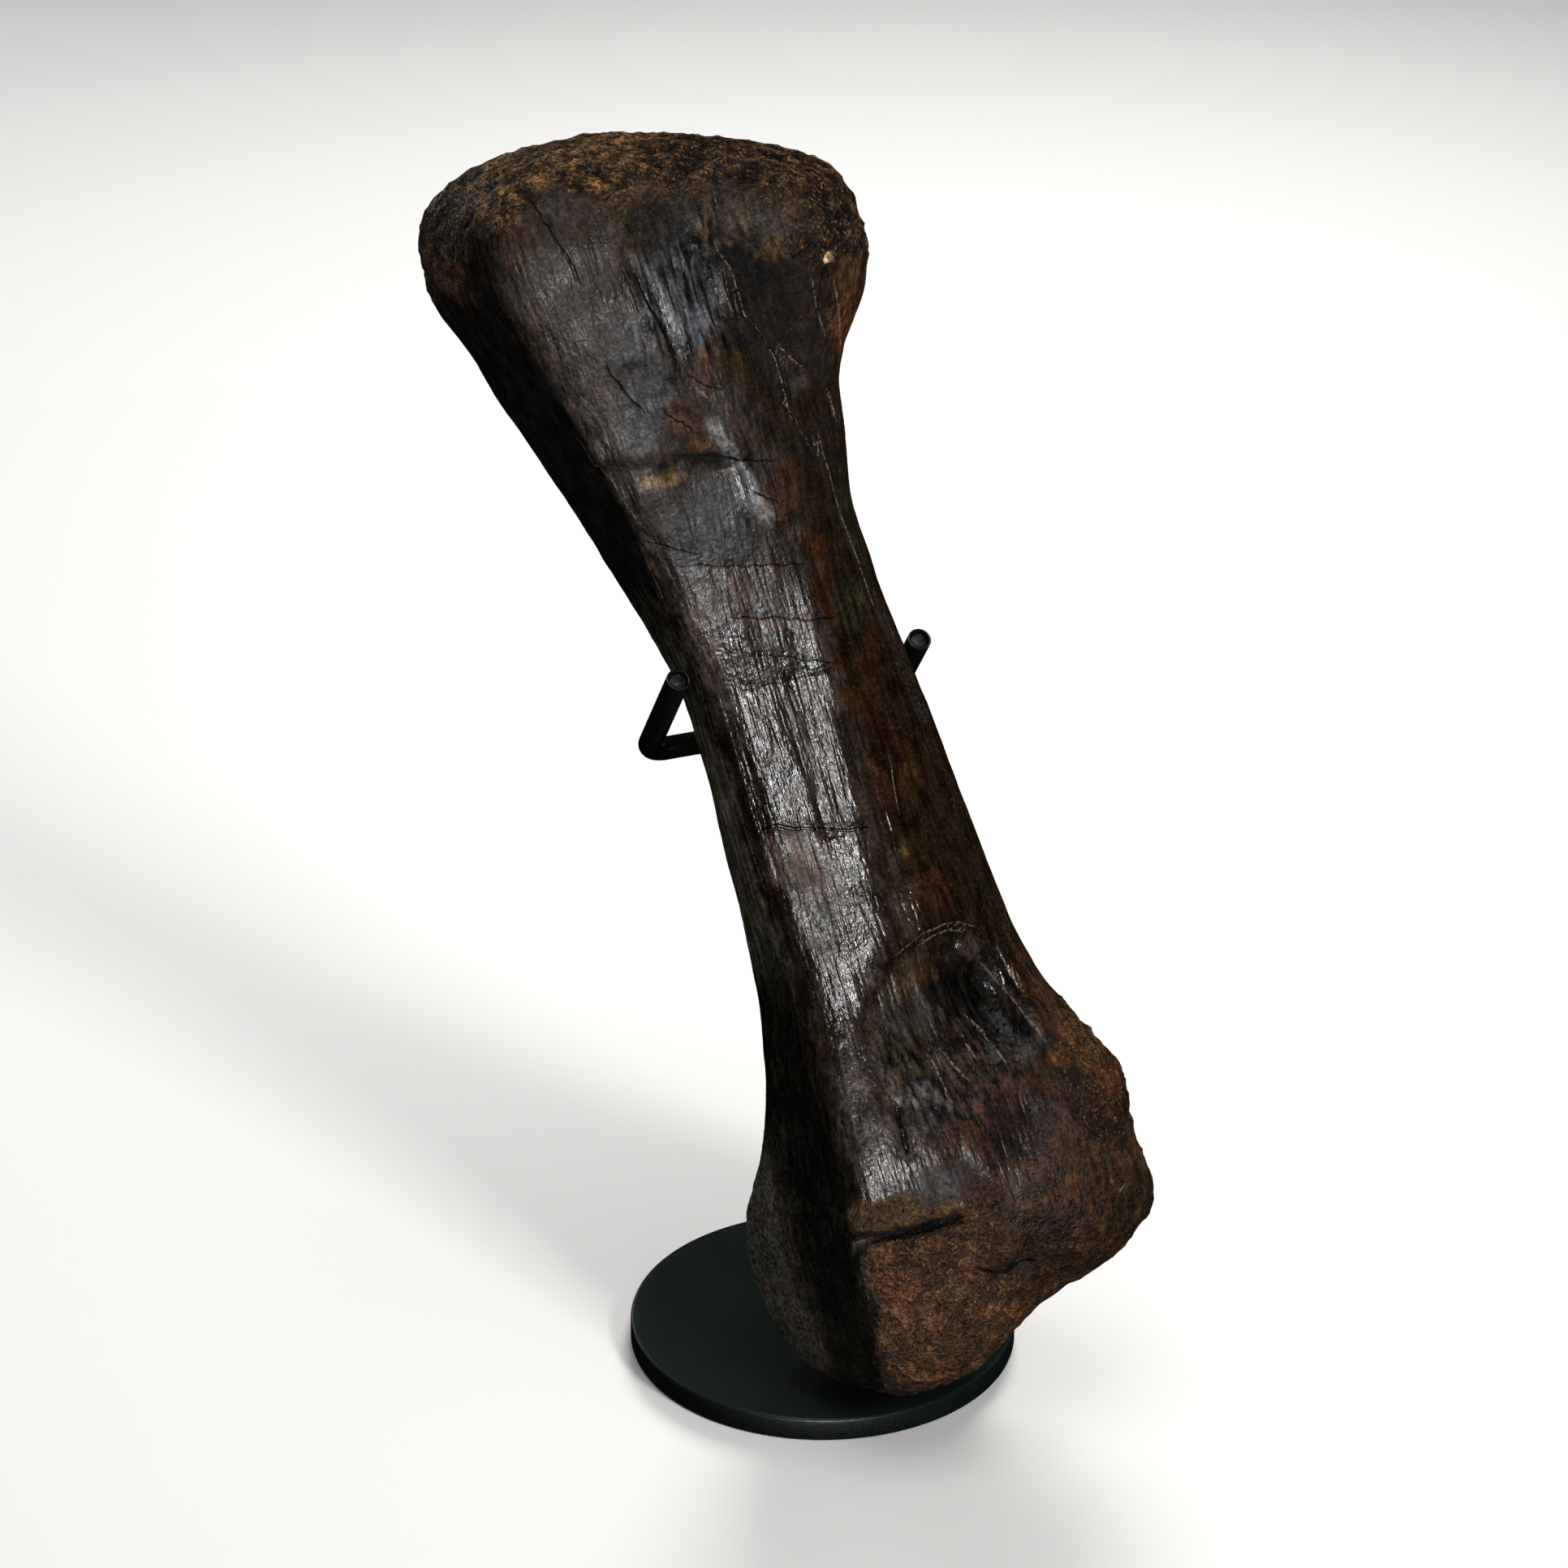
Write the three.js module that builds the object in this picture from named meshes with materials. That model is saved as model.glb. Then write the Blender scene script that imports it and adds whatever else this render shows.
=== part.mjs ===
// A fossil dinosaur foot bone standing on its display stand.
//
// Millimetres, +Z up. The origin is the centre of the foot plate's underside, so the stand
// rests on z = 0. +X is to the viewer's right and -Y is towards the viewer.
//
// The bone has a frame of its own: u to the right, v to the back, w up along its length.

import * as THREE from 'three';
import { mergeVertices } from 'three/addons/utils/BufferGeometryUtils.js';

// ---- Driving dimensions ----

const TOUCH_GAP = 0.3; // between two pieces that rest against each other

const DISC_DIAMETER = 101.6;
const DISC_THICKNESS = 6.35;
const DISC_TOP_ROUNDING = 0.9;
const DISC_FOOT_CHAMFER = 0.5;
const DISC_SIDES = 56;

const POST_DIAMETER = 6.35;
const POST_SIDES = 16;
const POST_ALONG_CROSSBAR = 9; // right of the crossbar's middle

const ROD_DIAMETER = 4.4;
const ROD_SIDES = 10;
const ROD_BEND_RADIUS = 5;
const CROSSBAR_LENGTH = 64.5; // between the two corners of the bent rod
const CROSSBAR_MIDDLE = new THREE.Vector3(-15, 24.3, 165.4);
const ARM_LENGTH = 37.4;
const CRADLE_YAW = 21.8; // degrees that the cradle is turned to the right
const ARM_RISE = 52; // degrees that the arms climb towards the viewer

const SLEEVE_DIAMETER = 6;
const SLEEVE_WALL = 0.5;
const SLEEVE_PAST_TIP = 1.1; // the sleeve covers the end of the rod
const SLEEVE_ON_CROSSBAR = 19; // and runs round the corner onto the crossbar

const BONE_LEAN = 17; // degrees to the left
const BONE_TILT = 14; // degrees to the back
const BONE_FOOT = new THREE.Vector2(49.3, -34.7); // x and y of the bone frame's origin
const BONE_COLUMNS = 56; // vertices round the bone
const BONE_RINGS = 56; // between the two end caps
const CAP_RINGS = 7;

// The bone's sections, from the lower knuckles to the upper head.
//   at            height of the section along the axis
//   left, right   reach to each side of the axis
//   front, back   reach forward and back
//   ridge         how far left of the axis the edge of the flat left flank runs
//   edge          how far that edge is rounded over, as a share of the reach
//   slope         rise of the section plane towards the right
const BONE_SECTIONS = [
  { at: 41, left: 59.2, right: 49, front: 34, back: 36, ridge: 30, edge: 0.03, slope: 0 },
  { at: 54, left: 56.2, right: 47.4, front: 34.5, back: 35.5, ridge: 27, edge: 0.03, slope: 0 },
  { at: 63, left: 50.0, right: 46.9, front: 34, back: 33, ridge: 25, edge: 0.03, slope: 0 },
  { at: 72, left: 45.5, right: 43.5, front: 32.5, back: 29.5, ridge: 24, edge: 0.04, slope: 0 },
  { at: 82, left: 41.8, right: 39.4, front: 30, back: 26, ridge: 24, edge: 0.06, slope: 0 },
  { at: 94, left: 39.4, right: 34.5, front: 26.5, back: 23.5, ridge: 24, edge: 0.1, slope: 0 },
  { at: 110, left: 36.1, right: 31.1, front: 23.5, back: 20.5, ridge: 25, edge: 0.16, slope: 0 },
  { at: 135, left: 34.2, right: 29.8, front: 21.5, back: 19, ridge: 26, edge: 0.18, slope: 0 },
  { at: 162, left: 32.9, right: 27.3, front: 20.6, back: 18.4, ridge: 27, edge: 0.18, slope: 0 },
  { at: 186, left: 32.1, right: 25.8, front: 20.6, back: 18.6, ridge: 26, edge: 0.2, slope: 0 },
  { at: 205, left: 35.6, right: 24.1, front: 21.8, back: 20, ridge: 26, edge: 0.2, slope: 0 },
  { at: 222, left: 38.9, right: 24.3, front: 24, back: 22.6, ridge: 27, edge: 0.12, slope: 0 },
  { at: 240, left: 43, right: 27, front: 27, back: 27, ridge: 29, edge: 0.05, slope: 0 },
  { at: 254, left: 47.2, right: 29.4, front: 29.5, back: 31, ridge: 31, edge: 0.03, slope: -0.01 },
  { at: 265, left: 50.4, right: 34.6, front: 32, back: 34, ridge: 33.5, edge: 0.03, slope: -0.03 },
  { at: 275, left: 53.5, right: 42.1, front: 34.5, back: 36.5, ridge: 36, edge: 0.03, slope: -0.05 },
  { at: 285, left: 56.8, right: 45.8, front: 37, back: 39, ridge: 38, edge: 0.03, slope: -0.08 },
  { at: 295, left: 61.2, right: 47.2, front: 39, back: 40.5, ridge: 40, edge: 0.04, slope: -0.11 },
  { at: 303, left: 60.6, right: 45.4, front: 40, back: 41, ridge: 40, edge: 0.06, slope: -0.13 },
];

// How square each corner of the section is: 2 is an ellipse.
const CORNER_FRONT_LEFT = 3;
const CORNER_FRONT_RIGHT = 2.2;
const CORNER_BACK_RIGHT = 2.1;
const CORNER_BACK_LEFT = 2.6;
const FRONT_SKEW = 0.18; // the front face recedes towards the right

// End caps. The knuckles are deepest on the left; the head falls away to the right.
//   squareness   of the rounding from rim to pole: 2 is an ellipse
//   pole         u of the cap's middle
//   left, right  depth of the cap on each side
//   from, to     stretch of u where one depth turns into the other
const KNUCKLES = { squareness: 2.7, pole: -24, left: 40, right: 27.5, from: -13, to: 13 };
const HEAD = { squareness: 2.4, pole: -8, left: 24.2, right: 17, from: -20, to: 50 };

// Hollows pressed into each side of the bone, and swellings where the depth is negative.
//   at            centre: sideways (u on the front and back, v on the flanks), and w
//   across, along half sizes, before the turn in degrees
const HOLLOWS = {
  front: [
    { name: 'hollow under the head', at: [9, 297], across: 22, along: 27, turn: 8, depth: 6 },
    { name: 'deep of the hollow', at: [13, 280], across: 14, along: 24, turn: 14, depth: 5.5 },
    { name: 'tail of the hollow', at: [19, 260], across: 10, along: 20, turn: 12, depth: 2.6 },
    { name: 'dip above the shaft', at: [-4, 246], across: 18, along: 12, turn: 20, depth: 1.6 },
    { name: 'three-sided hollow', at: [9, 92], across: 24, along: 32, turn: 0, depth: 4 },
    { name: 'deep of that hollow', at: [21, 97], across: 12, along: 19, turn: 12, depth: 5.5 },
    { name: 'lip of that hollow', at: [16, 125], across: 20, along: 9, turn: -6, depth: -1.5 },
    { name: 'wall right of it', at: [36, 90], across: 9, along: 27, turn: 24, depth: -2 },
    { name: 'valley between knuckles', at: [13, 22], across: 12, along: 22, turn: -20, depth: 5 },
    { name: 'swelling of the right knuckle', at: [30, 48], across: 20, along: 24, turn: 0, depth: -3 },
    { name: 'swelling right of the head', at: [34, 294], across: 15, along: 26, turn: 0, depth: -4 },
  ],
  flank: [
    { name: 'pit of the left knuckle', at: [-16, 44], across: 24, along: 42, turn: 0, depth: 4.5 },
  ],
  right: [
    { name: 'pit of the right knuckle', at: [4, 44], across: 17, along: 19, turn: 0, depth: 4 },
    { name: 'hollow side of the head', at: [6, 278], across: 16, along: 22, turn: 0, depth: 1.5 },
  ],
  back: [
    { name: 'groove between knuckles', at: [4, 30], across: 14, along: 48, turn: -4, depth: 7 },
    { name: 'flat behind the head', at: [-6, 272], across: 32, along: 44, turn: 0, depth: 4.5 },
    { name: 'keel down the back', at: [2, 205], across: 10, along: 75, turn: -4, depth: -2.2 },
  ],
};

// Which way each side faces in the section, and how squarely a point must face that way
// before its hollows start and before they are at full depth.
const SIDES = {
  front: { facing: new THREE.Vector3(0, -1, 0), sideways: 'x', start: 0.2, full: 0.65 },
  flank: { facing: new THREE.Vector3(-0.8, -0.6, 0), sideways: 'y', start: 0.75, full: 0.95 },
  right: { facing: new THREE.Vector3(1, 0, 0), sideways: 'y', start: 0.3, full: 0.8 },
  back: { facing: new THREE.Vector3(0, 1, 0), sideways: 'x', start: 0.2, full: 0.65 },
};

// ---- Materials ----

const fossil = () => new THREE.MeshStandardMaterial({
  color: 0x3a2c22,
  roughness: 0.42,
  metalness: 0,
});
const blackPaint = () => new THREE.MeshStandardMaterial({
  color: 0x10201c,
  roughness: 0.45,
  metalness: 0.2,
});
const sleevePlastic = () => new THREE.MeshStandardMaterial({
  color: 0x0b0f0e,
  roughness: 0.25,
  metalness: 0,
});

// ---- Bone ----

// A smooth run of one measure through the sections, with no overshoot between them.
function sectionValue(key, at) {
  const last = BONE_SECTIONS.length - 1;
  const next = BONE_SECTIONS.findIndex((section) => section.at >= at);
  const hi = next === -1 ? last : Math.max(next, 1);
  const lo = hi - 1;
  const slopeAt = (i) => {
    if (i === 0 || i === last) return 0;
    const [a, b, c] = [i - 1, i, i + 1].map((j) => BONE_SECTIONS[j]);
    const before = (b[key] - a[key]) / (b.at - a.at);
    const after = (c[key] - b[key]) / (c.at - b.at);
    return before * after <= 0 ? 0 : (2 * before * after) / (before + after);
  };
  const span = BONE_SECTIONS[hi].at - BONE_SECTIONS[lo].at;
  const t = THREE.MathUtils.clamp((at - BONE_SECTIONS[lo].at) / span, 0, 1);
  const start = BONE_SECTIONS[lo][key];
  const rise = BONE_SECTIONS[hi][key] - start;
  const leave = slopeAt(lo) * span;
  const arrive = slopeAt(hi) * span;
  return start + leave * t + (3 * rise - 2 * leave - arrive) * t * t
    + (leave + arrive - 2 * rise) * t * t * t;
}

// The lesser of two numbers, with the corner between them rounded over a width.
function smoothLesser(a, b, width) {
  const h = Math.max(width - Math.abs(a - b), 0) / width;
  return Math.min(a, b) - (h * h * width) / 4;
}

// One section's outline: a superellipse with its own reach and corner in each quarter, cut by
// the straight flank on its front left. The first point is on the edge of that flank.
function sectionOutline(at) {
  const left = sectionValue('left', at);
  const right = sectionValue('right', at);
  const front = sectionValue('front', at);
  const back = sectionValue('back', at);
  const ridge = sectionValue('ridge', at);
  const edge = sectionValue('edge', at);

  const ridgeFront = (1 - (ridge / left) ** CORNER_FRONT_LEFT) ** (1 / CORNER_FRONT_LEFT);
  const ridgePoint = new THREE.Vector2(-ridge, -front * ridgeFront);
  const flankEnd = new THREE.Vector2(-left, 0);
  const flank = flankEnd.clone().sub(ridgePoint).normalize();
  const flankNormal = new THREE.Vector2(-flank.y, flank.x);
  const flankDistance = flankNormal.dot(ridgePoint);
  const startAngle = Math.atan2(-ridgeFront, -ridge / left);

  return Array.from({ length: BONE_COLUMNS }, (_, column) => {
    const angle = startAngle + (2 * Math.PI * column) / BONE_COLUMNS;
    const cos = Math.cos(angle);
    const sin = Math.sin(angle);
    const cornerFront = cos < 0 ? CORNER_FRONT_LEFT : CORNER_FRONT_RIGHT;
    const cornerBack = cos < 0 ? CORNER_BACK_LEFT : CORNER_BACK_RIGHT;
    const corner = sin < 0 ? cornerFront : cornerBack;
    const reach = (Math.abs(cos) ** corner + Math.abs(sin) ** corner) ** (-1 / corner);
    const point = new THREE.Vector2(
      (cos < 0 ? left : right) * cos * reach,
      (sin < 0 ? front : back) * sin * reach,
    );
    const outward = flankNormal.dot(point);
    if (outward > 0) point.multiplyScalar(smoothLesser(1, flankDistance / outward, edge));
    if (point.y < 0) point.y -= (FRONT_SKEW * point.x * point.y) / front;
    return point;
  });
}

// A round-edged hollow, full depth at its centre and nothing at its rim.
function hollowDepth(hollow, sideways, w) {
  const turn = THREE.MathUtils.degToRad(hollow.turn);
  const du = sideways - hollow.at[0];
  const dw = w - hollow.at[1];
  const x = (du * Math.cos(turn) + dw * Math.sin(turn)) / hollow.across;
  const y = (dw * Math.cos(turn) - du * Math.sin(turn)) / hollow.along;
  const inside = Math.max(0, 1 - x * x - y * y);
  return hollow.depth * inside * inside;
}

// How far the hollows of every side move a point of the bone's skin.
function pressedIn(point, outward) {
  const move = new THREE.Vector3();
  for (const [name, side] of Object.entries(SIDES)) {
    const share = THREE.MathUtils.smoothstep(outward.dot(side.facing), side.start, side.full);
    for (const hollow of HOLLOWS[name]) {
      const depth = share * hollowDepth(hollow, point[side.sideways], point.z);
      move.addScaledVector(side.facing, -depth);
    }
  }
  return move;
}

// Gentle lumps of the natural surface, under a millimetre high.
function unevenness({ x: u, y: v, z: w }) {
  return 0.35 * Math.sin(w / 9 + u / 14) * Math.cos(v / 11 - w / 23)
    + 0.25 * Math.sin(w / 17 - v / 8 + 1.3) * Math.cos(u / 9 + w / 31);
}

// Depth of an end cap under a point.
const capDepth = (cap, u) => (
  THREE.MathUtils.lerp(cap.left, cap.right, THREE.MathUtils.smoothstep(u, cap.from, cap.to))
);

// Rings of a cap, from its rim towards its pole, and the pole itself. The direction is 1 for
// the upper end and -1 for the lower one.
function capRings(at, cap, direction) {
  const slope = sectionValue('slope', at);
  const rim = sectionOutline(at);
  const place = (u, v, share) => (
    new THREE.Vector3(u, v, at + slope * u + direction * share * capDepth(cap, u))
  );
  const rings = [];
  for (let ring = 1; ring <= CAP_RINGS; ring += 1) {
    const angle = (Math.PI / 2) * (ring / (CAP_RINGS + 0.5));
    const spread = Math.cos(angle) ** (2 / cap.squareness);
    const share = Math.sin(angle) ** (2 / cap.squareness);
    rings.push(rim.map(({ x: u, y: v }) => (
      place(THREE.MathUtils.lerp(cap.pole, u, spread), v * spread, share)
    )));
  }
  return { rings, pole: place(cap.pole, 0, 1) };
}

function bonePoints() {
  const first = BONE_SECTIONS[0].at;
  const last = BONE_SECTIONS[BONE_SECTIONS.length - 1].at;
  const lower = capRings(first, KNUCKLES, -1);
  const upper = capRings(last, HEAD, 1);
  const body = Array.from({ length: BONE_RINGS + 1 }, (_, ring) => {
    const at = THREE.MathUtils.lerp(first, last, ring / BONE_RINGS);
    const slope = sectionValue('slope', at);
    return sectionOutline(at).map(({ x: u, y: v }) => new THREE.Vector3(u, v, at + slope * u));
  });
  const rings = [...lower.rings.reverse(), ...body, ...upper.rings];
  return { rings, lowerPole: lower.pole, upperPole: upper.pole };
}

// The closed skin over rings of points: bands between rings, and a fan at each pole.
function skinGeometry(rings, lowerPole, upperPole) {
  const columns = rings[0].length;
  const points = [lowerPole, ...rings.flat(), upperPole];
  const at = (ring, column) => 1 + ring * columns + (column % columns);
  const faces = [];
  for (let column = 0; column < columns; column += 1) {
    faces.push(0, at(0, column + 1), at(0, column));
    for (let ring = 0; ring < rings.length - 1; ring += 1) {
      const [a, b] = [at(ring, column), at(ring, column + 1)];
      const [c, d] = [at(ring + 1, column + 1), at(ring + 1, column)];
      faces.push(a, b, c, a, c, d);
    }
    faces.push(points.length - 1, at(rings.length - 1, column), at(rings.length - 1, column + 1));
  }
  const geometry = new THREE.BufferGeometry().setFromPoints(points);
  geometry.setIndex(faces);
  geometry.computeVertexNormals();
  return geometry;
}

function boneGeometry() {
  const { rings, lowerPole, upperPole } = bonePoints();
  const smooth = skinGeometry(rings, lowerPole, upperPole);
  const normals = smooth.getAttribute('normal');
  const positions = smooth.getAttribute('position');
  for (let i = 0; i < positions.count; i += 1) {
    const point = new THREE.Vector3().fromBufferAttribute(positions, i);
    const outward = new THREE.Vector3().fromBufferAttribute(normals, i);
    point.add(pressedIn(point, outward));
    point.addScaledVector(outward, unevenness(point));
    positions.setXYZ(i, point.x, point.y, point.z);
  }
  smooth.computeVertexNormals();
  return smooth;
}

// The bone leans to the left and back, and its lowest point just clears the foot plate.
function makeBone() {
  const geometry = boneGeometry();
  const pose = new THREE.Matrix4()
    .makeRotationX(-THREE.MathUtils.degToRad(BONE_TILT))
    .multiply(new THREE.Matrix4().makeRotationY(-THREE.MathUtils.degToRad(BONE_LEAN)));
  geometry.applyMatrix4(pose);
  geometry.computeBoundingBox();
  const bone = new THREE.Mesh(geometry, fossil());
  const rest = DISC_THICKNESS + TOUCH_GAP - geometry.boundingBox.min.z;
  bone.position.set(BONE_FOOT.x, BONE_FOOT.y, rest);
  bone.name = 'toe_bone';
  return bone;
}

// ---- Stand ----

function makeBaseDisc() {
  const radius = DISC_DIAMETER / 2;
  const top = DISC_THICKNESS;
  const profile = [
    new THREE.Vector2(0, 0),
    new THREE.Vector2(radius - DISC_FOOT_CHAMFER, 0),
    new THREE.Vector2(radius, DISC_FOOT_CHAMFER),
  ];
  for (const degrees of [0, 30, 60, 90]) {
    const angle = THREE.MathUtils.degToRad(degrees);
    profile.push(new THREE.Vector2(
      radius - DISC_TOP_ROUNDING * (1 - Math.cos(angle)),
      top - DISC_TOP_ROUNDING * (1 - Math.sin(angle)),
    ));
  }
  profile.push(new THREE.Vector2(0, top));
  const geometry = new THREE.LatheGeometry(profile, DISC_SIDES);
  const disc = new THREE.Mesh(geometry.rotateX(Math.PI / 2), blackPaint());
  disc.name = 'base_disc';
  return disc;
}

// A path through stops chosen by hand, so that they can lie close together in the bends.
class StopPath extends THREE.Curve {
  constructor(stops) {
    super();
    this.stops = stops;
  }

  getPoint(t, target = new THREE.Vector3()) {
    const along = t * (this.stops.length - 1);
    const stop = Math.min(Math.floor(along), this.stops.length - 2);
    return target.lerpVectors(this.stops[stop], this.stops[stop + 1], along - stop);
  }

  getUtoTmapping(u) {
    return u;
  }
}

// Stops along straight runs with a round bend at each corner.
function bentStops(corners, bendRadius, stopsPerBend = 6) {
  const stops = [corners[0]];
  for (let i = 1; i < corners.length - 1; i += 1) {
    const corner = corners[i];
    const into = corners[i - 1].clone().sub(corner).normalize();
    const out = corners[i + 1].clone().sub(corner).normalize();
    const halfAngle = into.angleTo(out) / 2;
    const middle = into.clone().add(out).normalize();
    const centre = corner.clone().addScaledVector(middle, bendRadius / Math.sin(halfAngle));
    const setback = bendRadius / Math.tan(halfAngle);
    const start = corner.clone().addScaledVector(into, setback).sub(centre);
    const axis = new THREE.Vector3().crossVectors(into, out).normalize();
    const sweep = Math.PI - 2 * halfAngle;
    for (let stop = 0; stop <= stopsPerBend; stop += 1) {
      const turn = -sweep * (stop / stopsPerBend);
      stops.push(start.clone().applyAxisAngle(axis, turn).add(centre));
    }
  }
  stops.push(corners[corners.length - 1]);
  return stops;
}

function circle(radius, sides, Kind = THREE.Shape) {
  const points = Array.from({ length: sides }, (_, side) => {
    const angle = (2 * Math.PI * side) / sides;
    return new THREE.Vector2(radius * Math.cos(angle), radius * Math.sin(angle));
  });
  return new Kind(points);
}

function sweep(section, stops) {
  const geometry = new THREE.ExtrudeGeometry(section, {
    steps: stops.length - 1,
    extrudePath: new StopPath(stops),
    bevelEnabled: false,
  });
  geometry.deleteAttribute('normal');
  geometry.deleteAttribute('uv');
  const merged = mergeVertices(geometry, 1e-4);
  merged.computeVertexNormals();
  return merged;
}

const yaw = THREE.MathUtils.degToRad(CRADLE_YAW);
const rise = THREE.MathUtils.degToRad(ARM_RISE);
const crossbarDirection = new THREE.Vector3(Math.cos(yaw), Math.sin(yaw), 0);
const armDirection = new THREE.Vector3(
  Math.sin(yaw) * Math.cos(rise),
  -Math.cos(yaw) * Math.cos(rise),
  Math.sin(rise),
);

// A place on the crossbar, by its distance to the right of the middle.
const onCrossbar = (along) => CROSSBAR_MIDDLE.clone().addScaledVector(crossbarDirection, along);

// side is -1 for the left corner and 1 for the right one
const cradleCorner = (side) => onCrossbar((side * CROSSBAR_LENGTH) / 2);
const armPoint = (side, along) => cradleCorner(side).addScaledVector(armDirection, along);

function makeCradleRod() {
  const corners = [
    armPoint(-1, ARM_LENGTH),
    cradleCorner(-1),
    cradleCorner(1),
    armPoint(1, ARM_LENGTH),
  ];
  const section = circle(ROD_DIAMETER / 2, ROD_SIDES);
  const rod = new THREE.Mesh(sweep(section, bentStops(corners, ROD_BEND_RADIUS)), blackPaint());
  rod.name = 'cradle_rod';
  return rod;
}

function makeSleeve(name, side) {
  const corners = [
    armPoint(side, ARM_LENGTH + SLEEVE_PAST_TIP),
    cradleCorner(side),
    onCrossbar(side * (CROSSBAR_LENGTH / 2 - SLEEVE_ON_CROSSBAR)),
  ];
  const section = circle(SLEEVE_DIAMETER / 2, ROD_SIDES);
  section.holes.push(circle(SLEEVE_DIAMETER / 2 - SLEEVE_WALL, ROD_SIDES, THREE.Path));
  const sleeve = new THREE.Mesh(
    sweep(section, bentStops(corners, ROD_BEND_RADIUS)),
    sleevePlastic(),
  );
  sleeve.name = name;
  return sleeve;
}

// The post stands on the foot plate and carries the crossbar.
function makePost() {
  const top = onCrossbar(POST_ALONG_CROSSBAR);
  const foot = DISC_THICKNESS + TOUCH_GAP;
  const height = top.z - ROD_DIAMETER / 2 - TOUCH_GAP - foot;
  const geometry = new THREE.CylinderGeometry(
    POST_DIAMETER / 2,
    POST_DIAMETER / 2,
    height,
    POST_SIDES,
  );
  const post = new THREE.Mesh(geometry.rotateX(Math.PI / 2), blackPaint());
  post.position.set(top.x, top.y, foot + height / 2);
  post.name = 'post';
  return post;
}

const model = new THREE.Group();
model.add(
  makeBone(),
  makeBaseDisc(),
  makePost(),
  makeCradleRod(),
  makeSleeve('sleeve_left', -1),
  makeSleeve('sleeve_right', 1),
);

export default model;
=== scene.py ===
import math

import bmesh
import bpy
import numpy as np
from mathutils import Euler, Matrix, Vector, noise


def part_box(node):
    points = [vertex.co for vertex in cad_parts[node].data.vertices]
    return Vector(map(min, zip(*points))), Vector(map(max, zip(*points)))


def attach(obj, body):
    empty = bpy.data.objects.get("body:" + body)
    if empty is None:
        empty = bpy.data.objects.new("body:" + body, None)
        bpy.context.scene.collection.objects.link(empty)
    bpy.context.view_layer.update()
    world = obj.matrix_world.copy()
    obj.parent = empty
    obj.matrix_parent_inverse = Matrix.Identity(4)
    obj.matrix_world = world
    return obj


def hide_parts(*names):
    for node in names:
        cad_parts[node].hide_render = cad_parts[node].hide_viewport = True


# A fossil dinosaur foot bone on its display stand: a round plate, a post behind the bone, and
# a bent-rod cradle with plastic sleeves over its arms.

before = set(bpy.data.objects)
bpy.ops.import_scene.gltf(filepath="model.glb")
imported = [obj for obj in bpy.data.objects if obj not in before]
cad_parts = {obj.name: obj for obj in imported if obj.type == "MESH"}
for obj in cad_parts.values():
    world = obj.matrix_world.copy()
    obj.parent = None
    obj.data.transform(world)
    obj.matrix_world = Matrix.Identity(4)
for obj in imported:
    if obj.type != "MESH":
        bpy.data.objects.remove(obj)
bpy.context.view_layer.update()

MM = 0.001
MERGE = 1e-6  # corners nearer to each other than this are joined
CLOSE = 1e-5  # an edge this near to an end belongs to it

# ---- The bone's own frame: u to the right, v to the back, w up along it, in millimetres ----

BONE_ORIGIN = Vector((0.0493, -0.0347, 0.016624))
BONE_TURN = Matrix.Rotation(math.radians(-14), 3, "X") @ Matrix.Rotation(math.radians(-17), 3, "Y")


def smoothstep(x, low, high):
    t = np.clip((x - low) / (high - low), 0, 1)
    return t * t * (3 - 2 * t)


def lumps(points, size, seed=0.0, octaves=1):
    """Smooth noise from about -1 to 1, its lumps a given size in millimetres."""
    shift = Vector((seed * 17.3, seed * 5.1, seed * 11.7))
    scaled = points / size
    values = np.zeros(len(points))
    for octave in range(octaves):
        factor = 2.0**octave
        values += np.array([noise.noise(Vector(p) * factor + shift) for p in scaled]) / factor
    return values


def outline_distance(points, path):
    """Distance in the u-w plane to a path, and on which side of it: 1 left of its direction."""
    u, w = points[:, 0], points[:, 2]
    nearest = np.full(len(points), 1e9)
    side = np.ones(len(points))
    for (u0, w0), (u1, w1) in zip(path[:-1], path[1:]):
        du, dw = u1 - u0, w1 - w0
        t = np.clip(((u - u0) * du + (w - w0) * dw) / (du * du + dw * dw), 0, 1)
        away = np.hypot(u - u0 - t * du, w - w0 - t * dw)
        cross = du * (w - w0) - dw * (u - u0)
        closer = away < nearest
        nearest[closer] = away[closer]
        side[closer] = np.where(cross[closer] >= 0, 1, -1)
    return nearest, side


def patch(points, at, size, turn=0.0, ragged=0.0, soft=0.5, grain=4.0, seed=0.0):
    """How much a point lies in an oval patch in the u-w plane, with a ragged edge."""
    angle = math.radians(turn)
    du = points[:, 0] - at[0]
    dw = points[:, 2] - at[1]
    x = (du * math.cos(angle) + dw * math.sin(angle)) / size[0]
    y = (dw * math.cos(angle) - du * math.sin(angle)) / size[1]
    reach = np.hypot(x, y)
    if ragged:
        reach = reach + ragged * lumps(points, grain, seed, 2)
    return 1 - smoothstep(reach, 1 - soft, 1 + soft)


def line_maps(points, paths, widths, jitter):
    """For a set of thin lines: place across the nearest one in half widths, and how near it is."""
    across = np.ones(len(points))
    near = np.zeros(len(points))
    nearest = np.full(len(points), 1e9)
    for path, width in zip(paths, widths):
        away, side = outline_distance(points, path)
        signed = away * side + jitter * (1 - smoothstep(away, 3, 6))
        closer = away < nearest
        nearest[closer] = away[closer]
        across[closer] = np.clip(signed / width, -4, 4)[closer]
        near[closer] = (1 - smoothstep(away, 0.9, 2.2))[closer]
    return across, near


# ---- Making pieces ----


def only(obj):
    bpy.ops.object.select_all(action="DESELECT")
    obj.select_set(True)
    bpy.context.view_layer.objects.active = obj


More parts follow.
